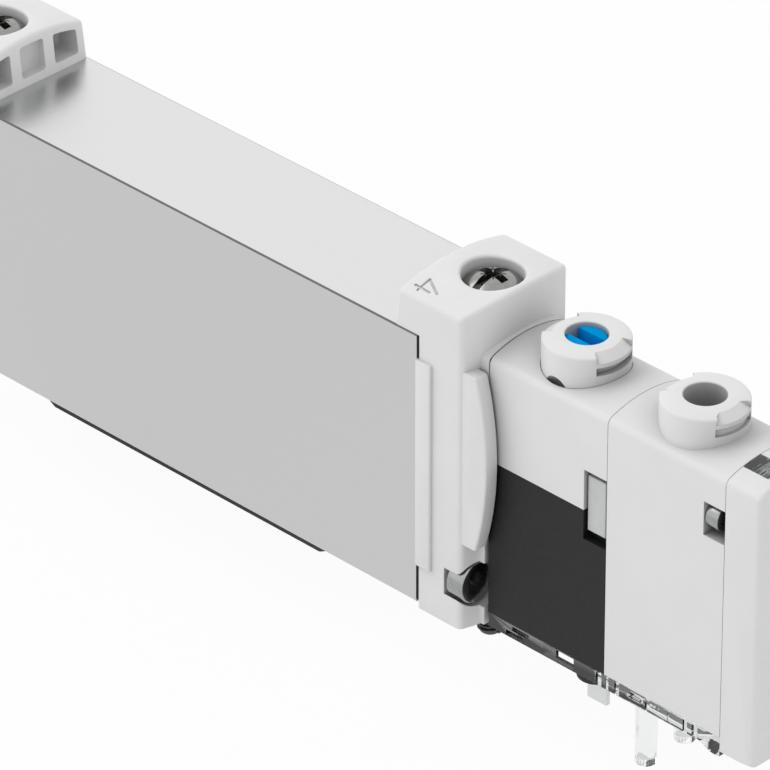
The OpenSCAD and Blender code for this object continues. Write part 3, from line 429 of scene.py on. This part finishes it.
# Caps: inner is the joint face, peak the outer face, overBody how far the top part lies over the metal body
capLook = {"inner": 30.45, "peak": 36.85, "half": 6.9, "top": 34.45, "corner": 0.42, "bodyTop": 29.5, "bodyEnd": 30.2,
           "overBody": 3.0, "farOverBody": 2.4, "draft": 6.4, "arch": 22.193, "bow": 21.274, "bowFrom": 35.5,
           "ribMiddle": 6.875, "ribHalf": 0.375, "ribEnd": 32.08, "ribLow": 4.8, "ribHigh": 27.0, "ribRound": 0.13,
           "screwX": 33, "seat": 32.25, "shank": 1.45, "sink": 2.95, "lip": 0.35,
           "roof": 0.8, "sill": 30.4, "windowPitch": 4.3, "windowHalf": 1.5, "windowCorner": 0.3,
           "windowEnds": (30.8, 29.1, 30.8),
           "pocketY": 4.96, "pocketZ": 4.5, "pocket": 2.4, "pocketX": 33.7, "pocketShank": 1.15, "pocketEnd": 30.3,
           "digitStroke": 0.24, "digitDepth": 0.16,
           "digit": (((31.36, -5.57), (29.40, -4.51)), ((29.40, -4.51), (29.44, -6.10)),
                     ((28.82, -5.72), (30.59, -5.80))),
           "footX": 35.2, "footEnd": 36.9, "footLow": 0.2, "footRound": 0.1, "flangeEnd": 37.3, "flangeLow": 18.4,
           "flangeRound": 0.5,
           "lobePeak": 38.75, "lobeRise": 1.35, "lobeHalf": 9.3, "lobeZ": 18.5, "lobeRoot": 35.0, "lobeY": (-6.7, 5.1),
           "lobeThick": 1.6, "lobeRound": 0.22}


# Block with the arched top, the bowed outer face and the two ribs beside the body
def capBlock(look, overBody):
    nose = look["bodyEnd"] - overBody
    lean = (look["top"] - look["bodyTop"]) * math.tan(math.radians(look["draft"]))
    upper = look["bodyTop"] + 0.5
    bm = pulled([(look["inner"], 0), (look["peak"], 0), (look["peak"], look["top"]), (nose + lean, look["top"]),
                 (nose, look["bodyTop"]), (look["inner"], look["bodyTop"])], -look["half"], look["half"])
    rounded(bm, look["corner"],
            lambda middle, along: middle.z > upper or (middle.x > look["peak"] - 0.1 and abs(along.z) > 0.9))
    arched(bm, look["arch"], upper, 26)
    for vert in bm.verts:  # the outer face bows outwards in the middle
        if vert.co.x > look["bowFrom"] * mm:
            vert.co.x -= fall(vert.co.y / mm, look["bow"]) * mm
    for side in (-1, 1):
        rib = boxed((look["bodyEnd"], side * look["ribMiddle"] - look["ribHalf"], look["ribLow"]),
                    (look["ribEnd"], side * look["ribMiddle"] + look["ribHalf"], look["ribHigh"]))
        gather(bm, rounded(rib, look["ribRound"], lambda middle, along: side * middle.y > 7.2, 3))
    return bm


# Screw sink with its rounded lip, the openings over the body and the pockets of the cap screws
def capCutter(look, overBody):
    lip = [math.radians(step * 16) for step in range(6)]
    mouth = look["sink"] + 0.6
    sink = turned([(0, -1), (look["shank"], -1), (look["shank"], look["seat"]), (look["sink"], look["seat"])]
                  + [(look["sink"] + look["lip"] * (1 - math.cos(a)), look["top"] - look["lip"] * (1 - math.sin(a)))
                     for a in lip]
                  + [(mouth, look["top"] + 0.08), (mouth, look["top"] + 2), (0, look["top"] + 2)], 96)
    bm = moved(arched(sink, look["arch"], look["seat"] + 0.1), look["screwX"])
    nose = look["bodyEnd"] - overBody
    for i, end in zip((-1, 0, 1), look["windowEnds"]):
        middleY = i * look["windowPitch"]
        hollow = boxed((nose - 1, middleY - look["windowHalf"], look["sill"]),
                       (end, middleY + look["windowHalf"], look["top"] - look["roof"]))
        rounded(hollow, look["windowCorner"], lambda middle, along: middle.x > nose, 4)
        gather(bm, arched(hollow, look["arch"] - look["roof"], look["sill"] + 1, 24))
    for side in (-1, 1):
        hole = turnedAlong([(0, look["pocketEnd"]), (look["pocketShank"], look["pocketEnd"]),
                            (look["pocketShank"], look["pocketX"]), (look["pocket"], look["pocketX"]),
                            (look["pocket"], look["peak"] + 2.15), (0, look["peak"] + 2.15)], 48)
        gather(bm, moved(hole, 0, side * look["pocketY"], look["pocketZ"]))
    return bm


# Strokes of the digit, let into the arched top
def digitCutter(look):
    bm = bmesh.new()
    for start, end in look["digit"]:
        low, high = (Vector((x, y, look["top"] - fall(y, look["arch"]))) for x, y in (start, end))
        along = (high - low).normalized()
        middle = (low + high) / 2
        outward = Vector((0, middle.y, math.sqrt(look["arch"] ** 2 - middle.y ** 2))).normalized()
        side = outward.cross(along).normalized()
        turn = Matrix((along, side, along.cross(side))).transposed().to_4x4()
        size = Matrix.Diagonal((((high - low).length + look["digitStroke"]) * mm, look["digitStroke"] * mm,
                                2 * look["digitDepth"] * mm, 1))
        bmesh.ops.create_cube(bm, size=1, matrix=Matrix.Translation(middle * mm) @ turn @ size)
    return bm


# D-shaped lobe beside the pilot
def guardLobe(look, low):
    half, rise, root = look["lobeHalf"], look["lobeRise"], look["lobeRoot"]
    radius = (half ** 2 + rise ** 2) / (2 * rise)
    away = [half * (1 - i / 12) for i in range(25)]
    bulge = [(look["lobePeak"] - fall(a, radius), look["lobeZ"] - a) for a in away]
    bm = pulled([(root, look["lobeZ"] - half)] + bulge + [(root, look["lobeZ"] + half)], low, low + look["lobeThick"])
    return rounded(bm, look["lobeRound"], lambda middle, along: middle.x > root + 0.1, 4)


# Foot and flange that the pilot stands against
def capFlange(look, pilot):
    foot = boxed((look["footX"], -pilot["half"], look["footLow"]),
                 (look["footEnd"], pilot["half"], look["flangeLow"] + 0.1))
    rounded(foot, look["footRound"], lambda middle, along: middle.x > look["footEnd"] - 0.1 and abs(along.z) > 0.9, 3)
    flange = boxed((look["footX"], -pilot["half"], look["flangeLow"]),
                   (look["flangeEnd"], pilot["half"], pilot["peak"]))
    rounded(flange, look["flangeRound"], lambda middle, along: middle.z > pilot["peak"] - 0.1 and abs(along.x) > 0.9)
    return gather(foot, arched(flange, pilot["arch"], pilot["archFrom"], 20))


# The far cap is the same block, turned over along X
def mirrored(bm):
    bmesh.ops.scale(bm, vec=(-1, 1, 1), verts=bm.verts)
    bmesh.ops.reverse_faces(bm, faces=bm.faces)


capShape = gather(capBlock(capLook, capLook["overBody"]), capFlange(capLook, pilotLook))
for low in capLook["lobeY"]:
    gather(capShape, guardLobe(capLook, low))
pilotCap = finished("pilotCapMoulding", capShape, capPlastic)
carved(pilotCap, capCutter(capLook, capLook["overBody"]))
carved(pilotCap, digitCutter(capLook))
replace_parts(pilotCap, "pilot_cap")

endCap = finished("endCapMoulding", capBlock(capLook, capLook["farOverBody"]), capPlastic)
carved(endCap, capCutter(capLook, capLook["farOverBody"]))
reshaped(endCap, mirrored)
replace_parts(endCap, "end_cap")
print("caps moulded")


# Metal body and its gasket
bodyLook = {"edgeY": 6.8, "edgeZ": 29.25, "lowLean": 0.25, "highLean": 0.995}
valveBody = softened("valve_body", "valveBodyMachined", bodyMetal, 0)
valveBody.data.materials.append(edgeMetal)
for face in valveBody.data.polygons:  # painted dark reflection: the long upper edges get the dark edge finish, a thin dark line
    atEdge = abs(face.center.y) > bodyLook["edgeY"] * mm and face.center.z > bodyLook["edgeZ"] * mm
    if atEdge and bodyLook["lowLean"] < face.normal.z < bodyLook["highLean"]:
        face.material_index = 1
softened("base_gasket", "baseGasketMoulded", sealRubber, 0)
print("body and gasket made")


# Rings on the pilot: a sloping notch over a catch slot on two sides; half is half a notch's angle,
# lean the slant of its ends and catch the depth of the slot
ringLook = {"radius": 4.125, "hole": 2.0, "rim": 33.0, "wallTop": 32.78, "edge": 0.25, "slotLow": 30.9,
            "slotHigh": 31.72, "ledge": 32.15, "notch": 0.92, "half": 34, "seat": 28.85, "collar": 2.6,
            "collarFoot": 27.9, "lean": 0, "catch": 0.7, "scoop": 1.77, "scoopY": -5.025, "scoopZ": 28.67}
blankLook = {**ringLook, "foot": 28.0, "floor": 30.4, "lean": 8.5, "catch": 0.35}


# Upper part of a pilot section, arched like the whole row
def sectionBar(look, x0, x1, z0):
    bm = boxed((x0, -look["half"], z0), (x1, look["half"], look["peak"]))
    rounded(bm, look["long"], lambda middle, along: middle.z > look["peak"] - 0.1 and abs(along.x) > 0.9)
    return arched(bm, look["arch"], look["archFrom"], 22)


# Outside of a ring from its wall's foot up to the rim and into the hole
def ringOutline(look, foot):
    r, edge = look["radius"], look["edge"]
    corner = [math.radians(i * 15) for i in range(6)]
    return ([(r, foot)] + [(r - edge * (1 - math.cos(a)), look["wallTop"] - edge * (1 - math.sin(a))) for a in corner]
            + [(look["hole"] + 0.2, look["rim"]), (look["hole"] + 0.06, look["rim"] - 0.03),
               (look["hole"], look["rim"] - 0.12)])


# Notches and catch slots on both sides of a ring, round the Z axis
def ringCutter(look):
    bm = bmesh.new()
    r, low, high, span = look["radius"], look["slotLow"], look["slotHigh"], 2 * look["half"]
    inner, outer = r - look["notch"], r + 1
    for start in (-look["half"], 180 - look["half"]):
        notch = turned([(inner, look["rim"] - 0.14), (r - 0.1, look["ledge"]), (outer, look["ledge"]),
                        (outer, look["rim"] + 1), (inner, look["rim"] + 1)], 22, span, loop=True)
        for vert in notch.verts:
            turnNow = math.degrees(math.atan2(vert.co.y, vert.co.x))
            atEnd = min(turnNow, span - turnNow) < 1
            if look["lean"] and atEnd and vert.co.z > (high + 0.5) * mm:
                give = math.radians(look["lean"] if turnNow < 1 else -look["lean"])
                vert.co.xy = (vert.co.x * math.cos(give) - vert.co.y * math.sin(give),
                              vert.co.x * math.sin(give) + vert.co.y * math.cos(give))
        catch = r - look["catch"]
        slot = turned([(catch, low), (outer, low), (outer, high), (catch, high)], 22, span, loop=True)
        for part in (notch, slot):
            bmesh.ops.rotate(part, verts=part.verts, cent=(0, 0, 0),
                             matrix=Matrix.Rotation(math.radians(start), 3, "Z"))
            gather(bm, part)
    return bm


# White housing over the black coil block, with the well for the ring and the plunger
coilLook = {"x0": 37.45, "x1": 52.1, "low": 1.9, "join": 18.4, "well": 2.3, "stem": 1.1, "wellFloor": 20,
            "stemTop": 20.6, "clipX0": 49.3, "clipX1": 53.1, "clipY": 3.9, "clipLow": 15.35, "clipHigh": 22.7,
            "roomX0": 38.375, "roomX1": 51.175, "roomY": 3.4, "roomLow": 2.7, "tabX0": 47.325, "tabX1": 49.825,
            "tabY": 1.75, "tabHalf": 0.3}


# Places of the two retaining clips, on both sides of the joint
def clipRecesses(look):
    bm = bmesh.new()
    for low, high in ((-6, -look["clipY"]), (look["clipY"], 6)):
        gather(bm, boxed((look["clipX0"], low, look["clipLow"]), (look["clipX1"], high, look["clipHigh"])))
    return bm


pilotHousing = finished("pilotHousingMoulding", sectionBar(pilotLook, coilLook["x0"], coilLook["x1"], coilLook["join"]),
                        pilotPlastic)
well = turned([(0, 17), (ringLook["collar"], 17), (ringLook["collar"], coilLook["wellFloor"]),
               (coilLook["stem"], coilLook["wellFloor"]), (coilLook["stem"], coilLook["stemTop"]),
               (coilLook["well"], coilLook["stemTop"]), (coilLook["well"], ringLook["collarFoot"]),
               (ringLook["collar"] + 0.02, ringLook["collarFoot"]), (ringLook["collar"] + 0.02, ringLook["seat"]),
               (ringLook["radius"] + 0.05, ringLook["seat"]), (ringLook["radius"] + 0.05, 35), (0, 35)], 96)
carved(pilotHousing, gather(moved(well, pilotLook["coilX"]), clipRecesses(coilLook)))
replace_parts(pilotHousing, "pilot_housing")

block = boxed((coilLook["x0"], -pilotLook["half"], coilLook["low"]),
              (coilLook["x1"], pilotLook["half"], coilLook["join"]))
coilBlock = finished("coilBlockMoulding", block, coilPlastic)
room = boxed((coilLook["roomX0"], -coilLook["roomY"], coilLook["roomLow"]),
             (coilLook["roomX1"], coilLook["roomY"], 19))
gather(room, clipRecesses(coilLook))
for side in (-1, 1):
    gather(room, boxed((coilLook["tabX0"], side * coilLook["tabY"] - coilLook["tabHalf"], 1),
                       (coilLook["tabX1"], side * coilLook["tabY"] + coilLook["tabHalf"], 3)))
carved(coilBlock, room)
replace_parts(coilBlock, "coil_housing")

ring = turned([(ringLook["hole"], ringLook["collarFoot"]), (ringLook["collar"], ringLook["collarFoot"]),
               (ringLook["collar"], ringLook["seat"])] + ringOutline(ringLook, ringLook["seat"]), 96, loop=True)
overrideRing = finished("overrideRingMoulding", moved(ring, pilotLook["coilX"]), pilotPlastic)
carved(overrideRing, moved(ringCutter(ringLook), pilotLook["coilX"]))
scoop = bmesh.new()
bmesh.ops.create_uvsphere(scoop, u_segments=48, v_segments=32, radius=ringLook["scoop"] * mm)
carved(overrideRing, moved(scoop, pilotLook["coilX"], ringLook["scoopY"], ringLook["scoopZ"]))
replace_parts(overrideRing, "override_ring")

plug = turned([(0, blankLook["foot"])] + ringOutline(blankLook, blankLook["foot"])
              + [(blankLook["hole"], blankLook["floor"]), (0, blankLook["floor"])], 96)
blankRing = finished("blankingRingMoulding", moved(plug, pilotLook["blankX"]), pilotPlastic)
carved(blankRing, moved(ringCutter(blankLook), pilotLook["blankX"]))

# Blanking section, hollow from below, with the notches where the pilot screws sit
sectionLook = {"x0": 52.15, "x1": 66.45, "low": 1.9, "wall": 1.0, "roof": 21.0, "notchX0": 63.9, "notchX1": 67.45,
               "notchY": 2.0, "notchLow": 22.45, "notchHigh": 25.95, "notchRound": 0.15}
blankCover = finished("blankingSectionMoulding",
                      sectionBar(pilotLook, sectionLook["x0"], sectionLook["x1"], sectionLook["low"]),
                      pilotPlastic)
inside = pilotLook["half"] - sectionLook["wall"]
hollow = boxed((sectionLook["x0"] + sectionLook["wall"], -inside, sectionLook["low"] - 1),
               (sectionLook["x1"] - sectionLook["wall"], inside, sectionLook["roof"]))
for low, high in ((-6, -sectionLook["notchY"]), (sectionLook["notchY"], 6)):
    notch = boxed((sectionLook["notchX0"], low, sectionLook["notchLow"]),
                  (sectionLook["notchX1"], high, sectionLook["notchHigh"]))
    gather(hollow, rounded(notch, sectionLook["notchRound"], lambda middle, along: abs(middle.y) < 3, 3))
carved(blankCover, hollow)
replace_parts(blankCover, "blank_cover")
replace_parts(blankRing, "blank_cover")

# End cover, with the window's slot in its top and the light channel below it
coverLook = {"x0": 66.5, "x1": 70.65, "low": 0.4, "round": 0.5, "footRound": 0.25, "slotY0": -2.75, "slotY1": -0.45,
             "slotFloor": 28.45, "channelX": 67.25}
cover = boxed((coverLook["x0"], -pilotLook["half"], coverLook["low"]),
              (coverLook["x1"], pilotLook["half"], pilotLook["peak"]))
rounded(cover, coverLook["round"], lambda middle, along: (middle.x > coverLook["x1"] - 0.05 and middle.z > 1)
        or (middle.z > pilotLook["peak"] - 0.1 and abs(along.x) > 0.9))
rounded(cover, coverLook["footRound"], lambda middle, along: middle.z < 0.5 and middle.x > 70, 4)
endCover = finished("endCoverMoulding", arched(cover, pilotLook["arch"], pilotLook["archFrom"], 22), pilotPlastic)
slot = boxed((coverLook["x0"] - 1, coverLook["slotY0"], coverLook["slotFloor"]), (72.6, coverLook["slotY1"], 38))
carved(endCover, gather(slot, boxed((coverLook["x0"] - 1, coverLook["slotY0"], -9),
                                    (coverLook["channelX"], coverLook["slotY1"], coverLook["slotFloor"] + 0.15))))
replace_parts(endCover, "end_cover")

softened("retaining_clips", "retainingClips", clipPlastic, 0.1)
softened("override_plunger", "overridePlunger", buttonPlastic, 0.06, body="override_button")
print("pilot sections moulded")


# Mounting screws: pan head with a slot and a cross, a thin neck and a thread at the end
screwLook = {"headRadius": 2.8, "headHeight": 2.1, "edgeHeight": 0.9, "seat": 32.25, "neck": 1.05, "thread": 1.25,
             "reach": 4.5, "pitch": 0.45, "slot": 0.8, "slotDeep": 0.9, "arm": 1.75, "armHalf": 0.5, "armDeep": 1.7,
             "armEnd": 1.1, "armEndHalf": 0.3, "tick": 0.62, "tickSize": (1.15, 0.14, 0.5)}


# Turned form of a mounting screw, with its seat at Z 0
def panHeadScrew(look):
    rise = look["headHeight"] - look["edgeHeight"]
    dome = (look["headRadius"] ** 2 + rise ** 2) / (2 * rise)
    centre = look["headHeight"] - dome
    crown = [(dome * math.sin(a), centre + dome * math.cos(a))
             for a in [math.asin((look["headRadius"] - 0.12) / dome) * i / 10 for i in range(11)]]
    core = look["thread"] - 0.24
    bottom = -look["seat"] - look["reach"]
    return turned(crown + [(look["headRadius"] - 0.03, look["edgeHeight"] - 0.02), (look["headRadius"], 0.75),
                           (look["headRadius"], 0.12), (look["headRadius"] - 0.12, 0), (look["neck"], 0),
                           (look["neck"], 0.3 - look["seat"]), (core, 0.1 - look["seat"]), (core, bottom + 0.15),
                           (core - 0.15, bottom), (0, bottom)])


# Screw thread as one ridge wound round the end of the shank
def threadRidge(look):
    bm = bmesh.new()
    root, crest, half = look["thread"] - 0.27, look["thread"], look["pitch"] * 0.42
    start = -look["seat"] - look["reach"] + half + 0.03
    turns = (look["reach"] - 0.2) / look["pitch"] - 0.6
    steps = 24
    corners = [bm.verts.new((radius * mm, 0, (start + lift) * mm))
               for radius, lift in ((root, -half), (crest, -0.04), (crest, 0.04), (root, half))]
    edges = [bm.edges.new((corners[i], corners[(i + 1) % 4])) for i in range(4)]
    bmesh.ops.spin(bm, geom=corners + edges, cent=(0, 0, 0), axis=(0, 0, 1), angle=math.tau * turns,
                   steps=int(steps * turns), dvec=(0, 0, look["pitch"] * mm / steps))
    bmesh.ops.holes_fill(bm, edges=[edge for edge in bm.edges if edge.is_boundary])
    bmesh.ops.recalc_face_normals(bm, faces=bm.faces)
    return bm


# Slot right across the head, with a cross in its middle
def driveRecess(look):
    top, wide = look["headHeight"], 2 * look["headRadius"]
    bm = boxed((-look["slot"] / 2, -wide, top - look["slotDeep"]), (look["slot"] / 2, wide, top + 1))
    for turn in (0, 90):
        made = bmesh.ops.create_cube(bm, size=1)["verts"]
        for vert in made:  # arms narrow and shorten towards the bottom
            reach, half, z = ((look["armEnd"], look["armEndHalf"], top - look["armDeep"]) if vert.co.z < 0
                              else (look["arm"], look["armHalf"], top + 0.3))
            vert.co = Vector((math.copysign(reach, vert.co.x), math.copysign(half, vert.co.y), z)) * mm
        bmesh.ops.rotate(bm, verts=made, cent=(0, 0, 0), matrix=Matrix.Rotation(math.radians(turn), 3, "Z"))
    for turn in (45, 135, 225, 315):  # four small ticks between the arms
        made = bmesh.ops.create_cube(bm, size=1)["verts"]
        bmesh.ops.scale(bm, verts=made, vec=Vector(look["tickSize"]) * mm)
        bmesh.ops.translate(bm, verts=made, vec=(look["tick"] * mm, 0, (top - 0.08) * mm))
        bmesh.ops.rotate(bm, verts=made, cent=(0, 0, 0), matrix=Matrix.Rotation(math.radians(turn), 3, "Z"))
    return bm


def mountingScrew(name, look, x):
    piece = carved(finished(name, panHeadScrew(look), screwMetal), driveRecess(look))
    reshaped(piece, lambda bm: moved(gather(bm, threadRidge(look)), x, 0, look["seat"]))
    piece.data.materials.append(threadMetal)
    for face in piece.data.polygons:  # painted dark reflection and shade: the thread end below the cap gets the darker finish
        face.material_index = 1 if face.center.z < 1 * mm else 0
    smoothed(piece.data)
    bevel = piece.modifiers.new("rounding", "BEVEL")
    bevel.limit_method, bevel.angle_limit = "ANGLE", math.radians(40)
    bevel.width, bevel.segments = 0.05 * mm, 2
    piece.modifiers.new("flatFaces", "WEIGHTED_NORMAL").keep_sharp = True
    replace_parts(piece, "mounting_screws")


mountingScrew("mountingScrewPilotEnd", screwLook, capLook["screwX"])
mountingScrew("mountingScrewFarEnd", screwLook, -capLook["screwX"])


# Cylinder-head screws lying along X, with a six-lobe recess; face is where the head ends
capScrewLook = {"face": 36.1, "radius": 2.13, "edge": 0.2, "head": 1.95, "shank": 5, "thread": 1.0, "deep": 1.5,
                "lobe": 0.85}
pilotScrewLook = {"face": 65.45, "radius": 1.35, "edge": 0.15, "head": 1.45, "shank": 6, "thread": 0.8, "deep": 0.8,
                  "lobe": 0.6, "y": 3.5, "z": 24.2}


def socketScrew(name, look, y, z, side=1):
    radius, edge, face = look["radius"], look["edge"], look["face"]
    seat, end, floor, lobe = face - look["head"], face - look["head"] - look["shank"], face - look["deep"], look["lobe"]
    corner = [math.radians(i * 18) for i in range(6)]
    bm = turned([(0, face)] + [(radius - edge * (1 - math.sin(a)), face - edge * (1 - math.cos(a))) for a in corner]
                + [(radius, seat + 0.08), (radius - 0.08, seat), (look["thread"], seat), (look["thread"], end),
                   (0, end)], 64)
    recess = turned([(0, floor), (lobe, floor), (lobe, face + 1), (0, face + 1)], 36)
    for i in range(6):
        flute = turned([(0, floor), (lobe * 0.32, floor), (lobe * 0.32, face + 1), (0, face + 1)], 16)
        turn = math.radians(60 * i)
        gather(recess, moved(flute, lobe * math.cos(turn), lobe * math.sin(turn)))

    def laid(shape):
        bmesh.ops.rotate(shape, verts=shape.verts, cent=(0, 0, 0),
                         matrix=Matrix.Rotation(math.radians(90 * side), 3, "Y"))
        moved(shape, 0, y, z)

    return reshaped(carved(finished(name, bm, darkMetal), recess), laid)


for side, end in ((1, "PilotEnd"), (-1, "FarEnd")):
    for y, hand in ((-capLook["pocketY"], "A"), (capLook["pocketY"], "B")):
        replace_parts(socketScrew("capScrew" + end + hand, capScrewLook, y, capLook["pocketZ"], side), "cap_screws")
for y, hand in ((-pilotScrewLook["y"], "A"), (pilotScrewLook["y"], "B")):
    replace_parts(socketScrew("pilotScrew" + hand, pilotScrewLook, y, pilotScrewLook["z"]), "pilot_screws")
print("screws made")


# Light guide: slots cut through the front of the plate (from, to, depth) and shallow frames in its face
guideLook = {"front": -4.85, "low": -0.5, "high": 1.7, "shadeX": 51.2,
             "slots": ((51.1, 51.35, 1.1), (52.3, 52.38, 0.7), (53.4, 53.6, 1.0), (57.2, 57.45, 0.9),
                       (60.0, 60.06, 0.3), (61.9, 62.1, 0.9), (63.0, 63.3, 1.1)),
             "frames": ((40.5, 42.6, 1.2, 1.65, 0.3), (39.7, 41.9, 0.45, 1.0, 0.3), (55.3, 56.6, 0.9, 1.55, 0.5),
                        (46.06, 48.28, 0.85, 1.72, 0.55)),
             "behind": ((44.3, -4.5), (48.1, -2.9))}  # lets the floor show through the last frame


def guideCutter(look):
    (x0, y0), (x1, y1) = look["behind"]
    bm = boxed((x0, y0, look["low"]), (x1, y1, look["high"]))
    boxes = [(x0, x1, look["low"], look["high"], deep) for x0, x1, deep in look["slots"]] + list(look["frames"])
    for x0, x1, low, high, deep in boxes:
        gather(bm, boxed((x0, -5.5, low), (x1, look["front"] + deep, high)))
    return bm


lightGuide = softened("light_guide", "lightGuideMoulding", guidePlastic, 0)
carved(lightGuide, guideCutter(guideLook))
reshaped(lightGuide, lambda bm: bmesh.ops.bisect_plane(bm, geom=bm.verts[:] + bm.edges[:] + bm.faces[:],
                                                       plane_no=(1, 0, 0), plane_co=(guideLook["shadeX"] * mm, 0, 0)))
lightGuide.data.materials.append(guidePaintedShade)
lightGuide.data.materials.append(guidePaintedGrey)
for face in lightGuide.data.polygons:  # painted shade: the pillars stay clear, the plate and the pillars' rims are tinted grey, darker under the black coil part
    plate = face.center.z > 0.3 * mm
    rim = face.center.z < -6.85 * mm and face.normal.z > -0.95
    shaded = plate and face.center.x < guideLook["shadeX"] * mm
    face.material_index = 1 if shaded else 2 if plate or rim else 0

# Window: a lens in the cover's top on a light pipe, with bevelled facets cut from below (outline, from Y, to Y)
windowLook = {"x0": 66.52, "x1": 70.59, "y0": -2.7, "y1": -0.5, "low": 28.55, "top": 30.04, "pipeX": 67.2,
              "pipeLow": 1.9,
              "facets": ((((68.3, 28), (69.1, 29.25), (69.2, 29.25), (69.9, 28)), -4, 1),
                         (((67.95, 28), (67.95, 29.0), (68.15, 28)), -4, -1.3),
                         (((66.7, 27.6), (66.95, 28.9), (67.1, 28.9), (67.4, 27.6)), -2.3, -0.9))}
glass = boxed((windowLook["x0"], windowLook["y0"], windowLook["low"]),
              (windowLook["x1"], windowLook["y1"], windowLook["top"]))
arched(glass, pilotLook["arch"], 29, 16)
gather(glass, boxed((windowLook["x0"], windowLook["y0"], windowLook["pipeLow"]),
                    (windowLook["pipeX"], windowLook["y1"], 28.9)))
window = finished("indicatorWindow", glass, windowPlastic)
facets = bmesh.new()
for outline, low, high in windowLook["facets"]:
    gather(facets, pulled(outline, low, high))
carved(window, facets)
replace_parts(window, "indicator_window")
softened("contact_blades", "contactBlades", contactMetal, 0.05, segments=2)
softened("contact_seals", "contactSeals", sealRubber, 0.15, segments=4)
print("clear parts and contacts made")


# Springs get softened copies with their own meshes; the joint, axis, travel and fixed end listed for each do not make
# them shorten
springs = {"return_spring": ("returnSpring", "spool_slide", 0, 3.0, (-30.4, 0, 0)),
           "armature_spring": ("armatureSpring", "armature_slide", 2, 0.4, (pilotLook["coilX"], 0, 7.05)),
           "override_spring": ("overrideSpring", "override_press", 2, 1.2, (pilotLook["coilX"], 0, 20.65))}
for nodeName, (pieceName, joint, axis, travel, anchor) in springs.items():
    low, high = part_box(nodeName)
    spring = softened(nodeName, pieceName, springMetal, 0)
    along = Vector((0, 0, 0))
    along[axis] = 1
    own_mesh(spring)
print("springs made")


# The rest keeps its CAD shape and gets its finish
kept = {"pilot_cap_seal": sealRubber, "end_cap_seal": sealRubber, "pilot_gasket": sealRubber, "spool": spoolMetal,
        "spool_seals": sealRubber, "pilot_piston": bobbinPlastic, "piston_seal": sealRubber,
        "bobbin": bobbinPlastic, "winding": coilWire, "coil_yoke": magnetMetal,
        "fixed_core": magnetMetal, "armature": magnetMetal, "armature_seal": sealRubber,
        "override_seal": sealRubber}
for name, finish in kept.items():
    node = nodes[name]
    if not node.material_slots:
        node.data.materials.append(finish)
    for holder in node.material_slots:
        holder.material = finish
print("inner parts finished")


# Floor, world and lamps
studio = {"floor": -7.15, "floorColour": "#F4F4F4", "backColour": "#FFFFFF", "worldLevel": 0.68, "mirrorLevel": 1.28,
          "cameraShare": 0.95, "mirrorShare": 0.9, "lampToward": (-0.6, -0.3, 0.74), "lampAway": 0.9, "lampWatts": 2.4,
          "lampSize": 0.6, "lampAim": (0.025, 0, 0.015)}


# Floor that keeps the object's shadow and is white to the camera and in reflections
def makeFloor(look):
    bm = bmesh.new()
    bmesh.ops.create_grid(bm, x_segments=1, y_segments=1, size=3)
    bmesh.ops.translate(bm, verts=bm.verts, vec=(0, 0, look["floor"] * mm))
    mesh = bpy.data.meshes.new("floor")
    bm.to_mesh(mesh)
    bm.free()
    floor = bpy.data.objects.new("floor", mesh)
    bpy.context.scene.collection.objects.link(floor)
    paper = bpy.data.materials.new("paintedBoardFloor")
    paper.use_nodes = True
    tree = paper.node_tree
    tree.nodes.clear()
    rays = addNode(tree, "LightPath")
    mirrorRays = addNode(tree, "Math", {"operation": "MAXIMUM"},
                         {0: rays.outputs["Is Glossy Ray"], 1: rays.outputs["Is Transmission Ray"]})
    mirrorPart = addNode(tree, "Math", {"operation": "MULTIPLY"}, {0: mirrorRays.outputs[0], 1: look["mirrorShare"]})
    cameraPart = addNode(tree, "Math", {"operation": "MULTIPLY"},
                         {0: rays.outputs["Is Camera Ray"], 1: look["cameraShare"]})
    share = addNode(tree, "Math", {"operation": "MAXIMUM"}, {0: mirrorPart.outputs[0], 1: cameraPart.outputs[0]})
    paint = addNode(tree, "BsdfDiffuse", inputs={"Color": linear(look["floorColour"])})
    white = addNode(tree, "Emission", inputs={"Color": linear(look["backColour"]), "Strength": 1.0})
    both = addNode(tree, "MixShader", inputs={0: share.outputs[0], 1: paint.outputs[0], 2: white.outputs[0]})
    addNode(tree, "OutputMaterial", inputs={"Surface": both.outputs[0]})
    mesh.materials.append(paper)


# Even white light from all sides, brighter in reflections
def makeWorld(look):
    world = bpy.data.worlds.new("studioWorld")
    world.use_nodes = True
    bpy.context.scene.world = world
    tree = world.node_tree
    tree.nodes.clear()
    rays = addNode(tree, "LightPath")
    seen = addNode(tree, "Math", {"operation": "MAXIMUM"},
                   {0: rays.outputs["Is Transmission Ray"], 1: rays.outputs["Is Camera Ray"]})
    plain = addNode(tree, "MapRange", inputs={"Value": seen.outputs[0], "To Min": look["worldLevel"], "To Max": 1.0})
    level = addNode(tree, "MapRange", inputs={"Value": rays.outputs["Is Glossy Ray"], "To Min": plain.outputs[0],
                                              "To Max": look["mirrorLevel"]})
    sky = addNode(tree, "Background", inputs={"Color": linear(look["backColour"]), "Strength": level.outputs[0]})
    addNode(tree, "OutputWorld", inputs={"Surface": sky.outputs[0]})


def addLamp(look):
    lamp = bpy.data.objects.new("keyLamp", bpy.data.lights.new("keyLamp", "AREA"))
    lamp.data.shape = "SQUARE"
    lamp.data.size = look["lampSize"]
    lamp.data.energy = look["lampWatts"]
    toward = Vector(look["lampToward"]).normalized()
    place = Vector(look["lampAim"]) + toward * look["lampAway"]
    lamp.matrix_world = Matrix.Translation(place) @ toward.to_track_quat("Z", "Y").to_matrix().to_4x4()
    bpy.context.scene.collection.objects.link(lamp)


makeFloor(studio)
makeWorld(studio)
addLamp(studio)
print("studio lit")
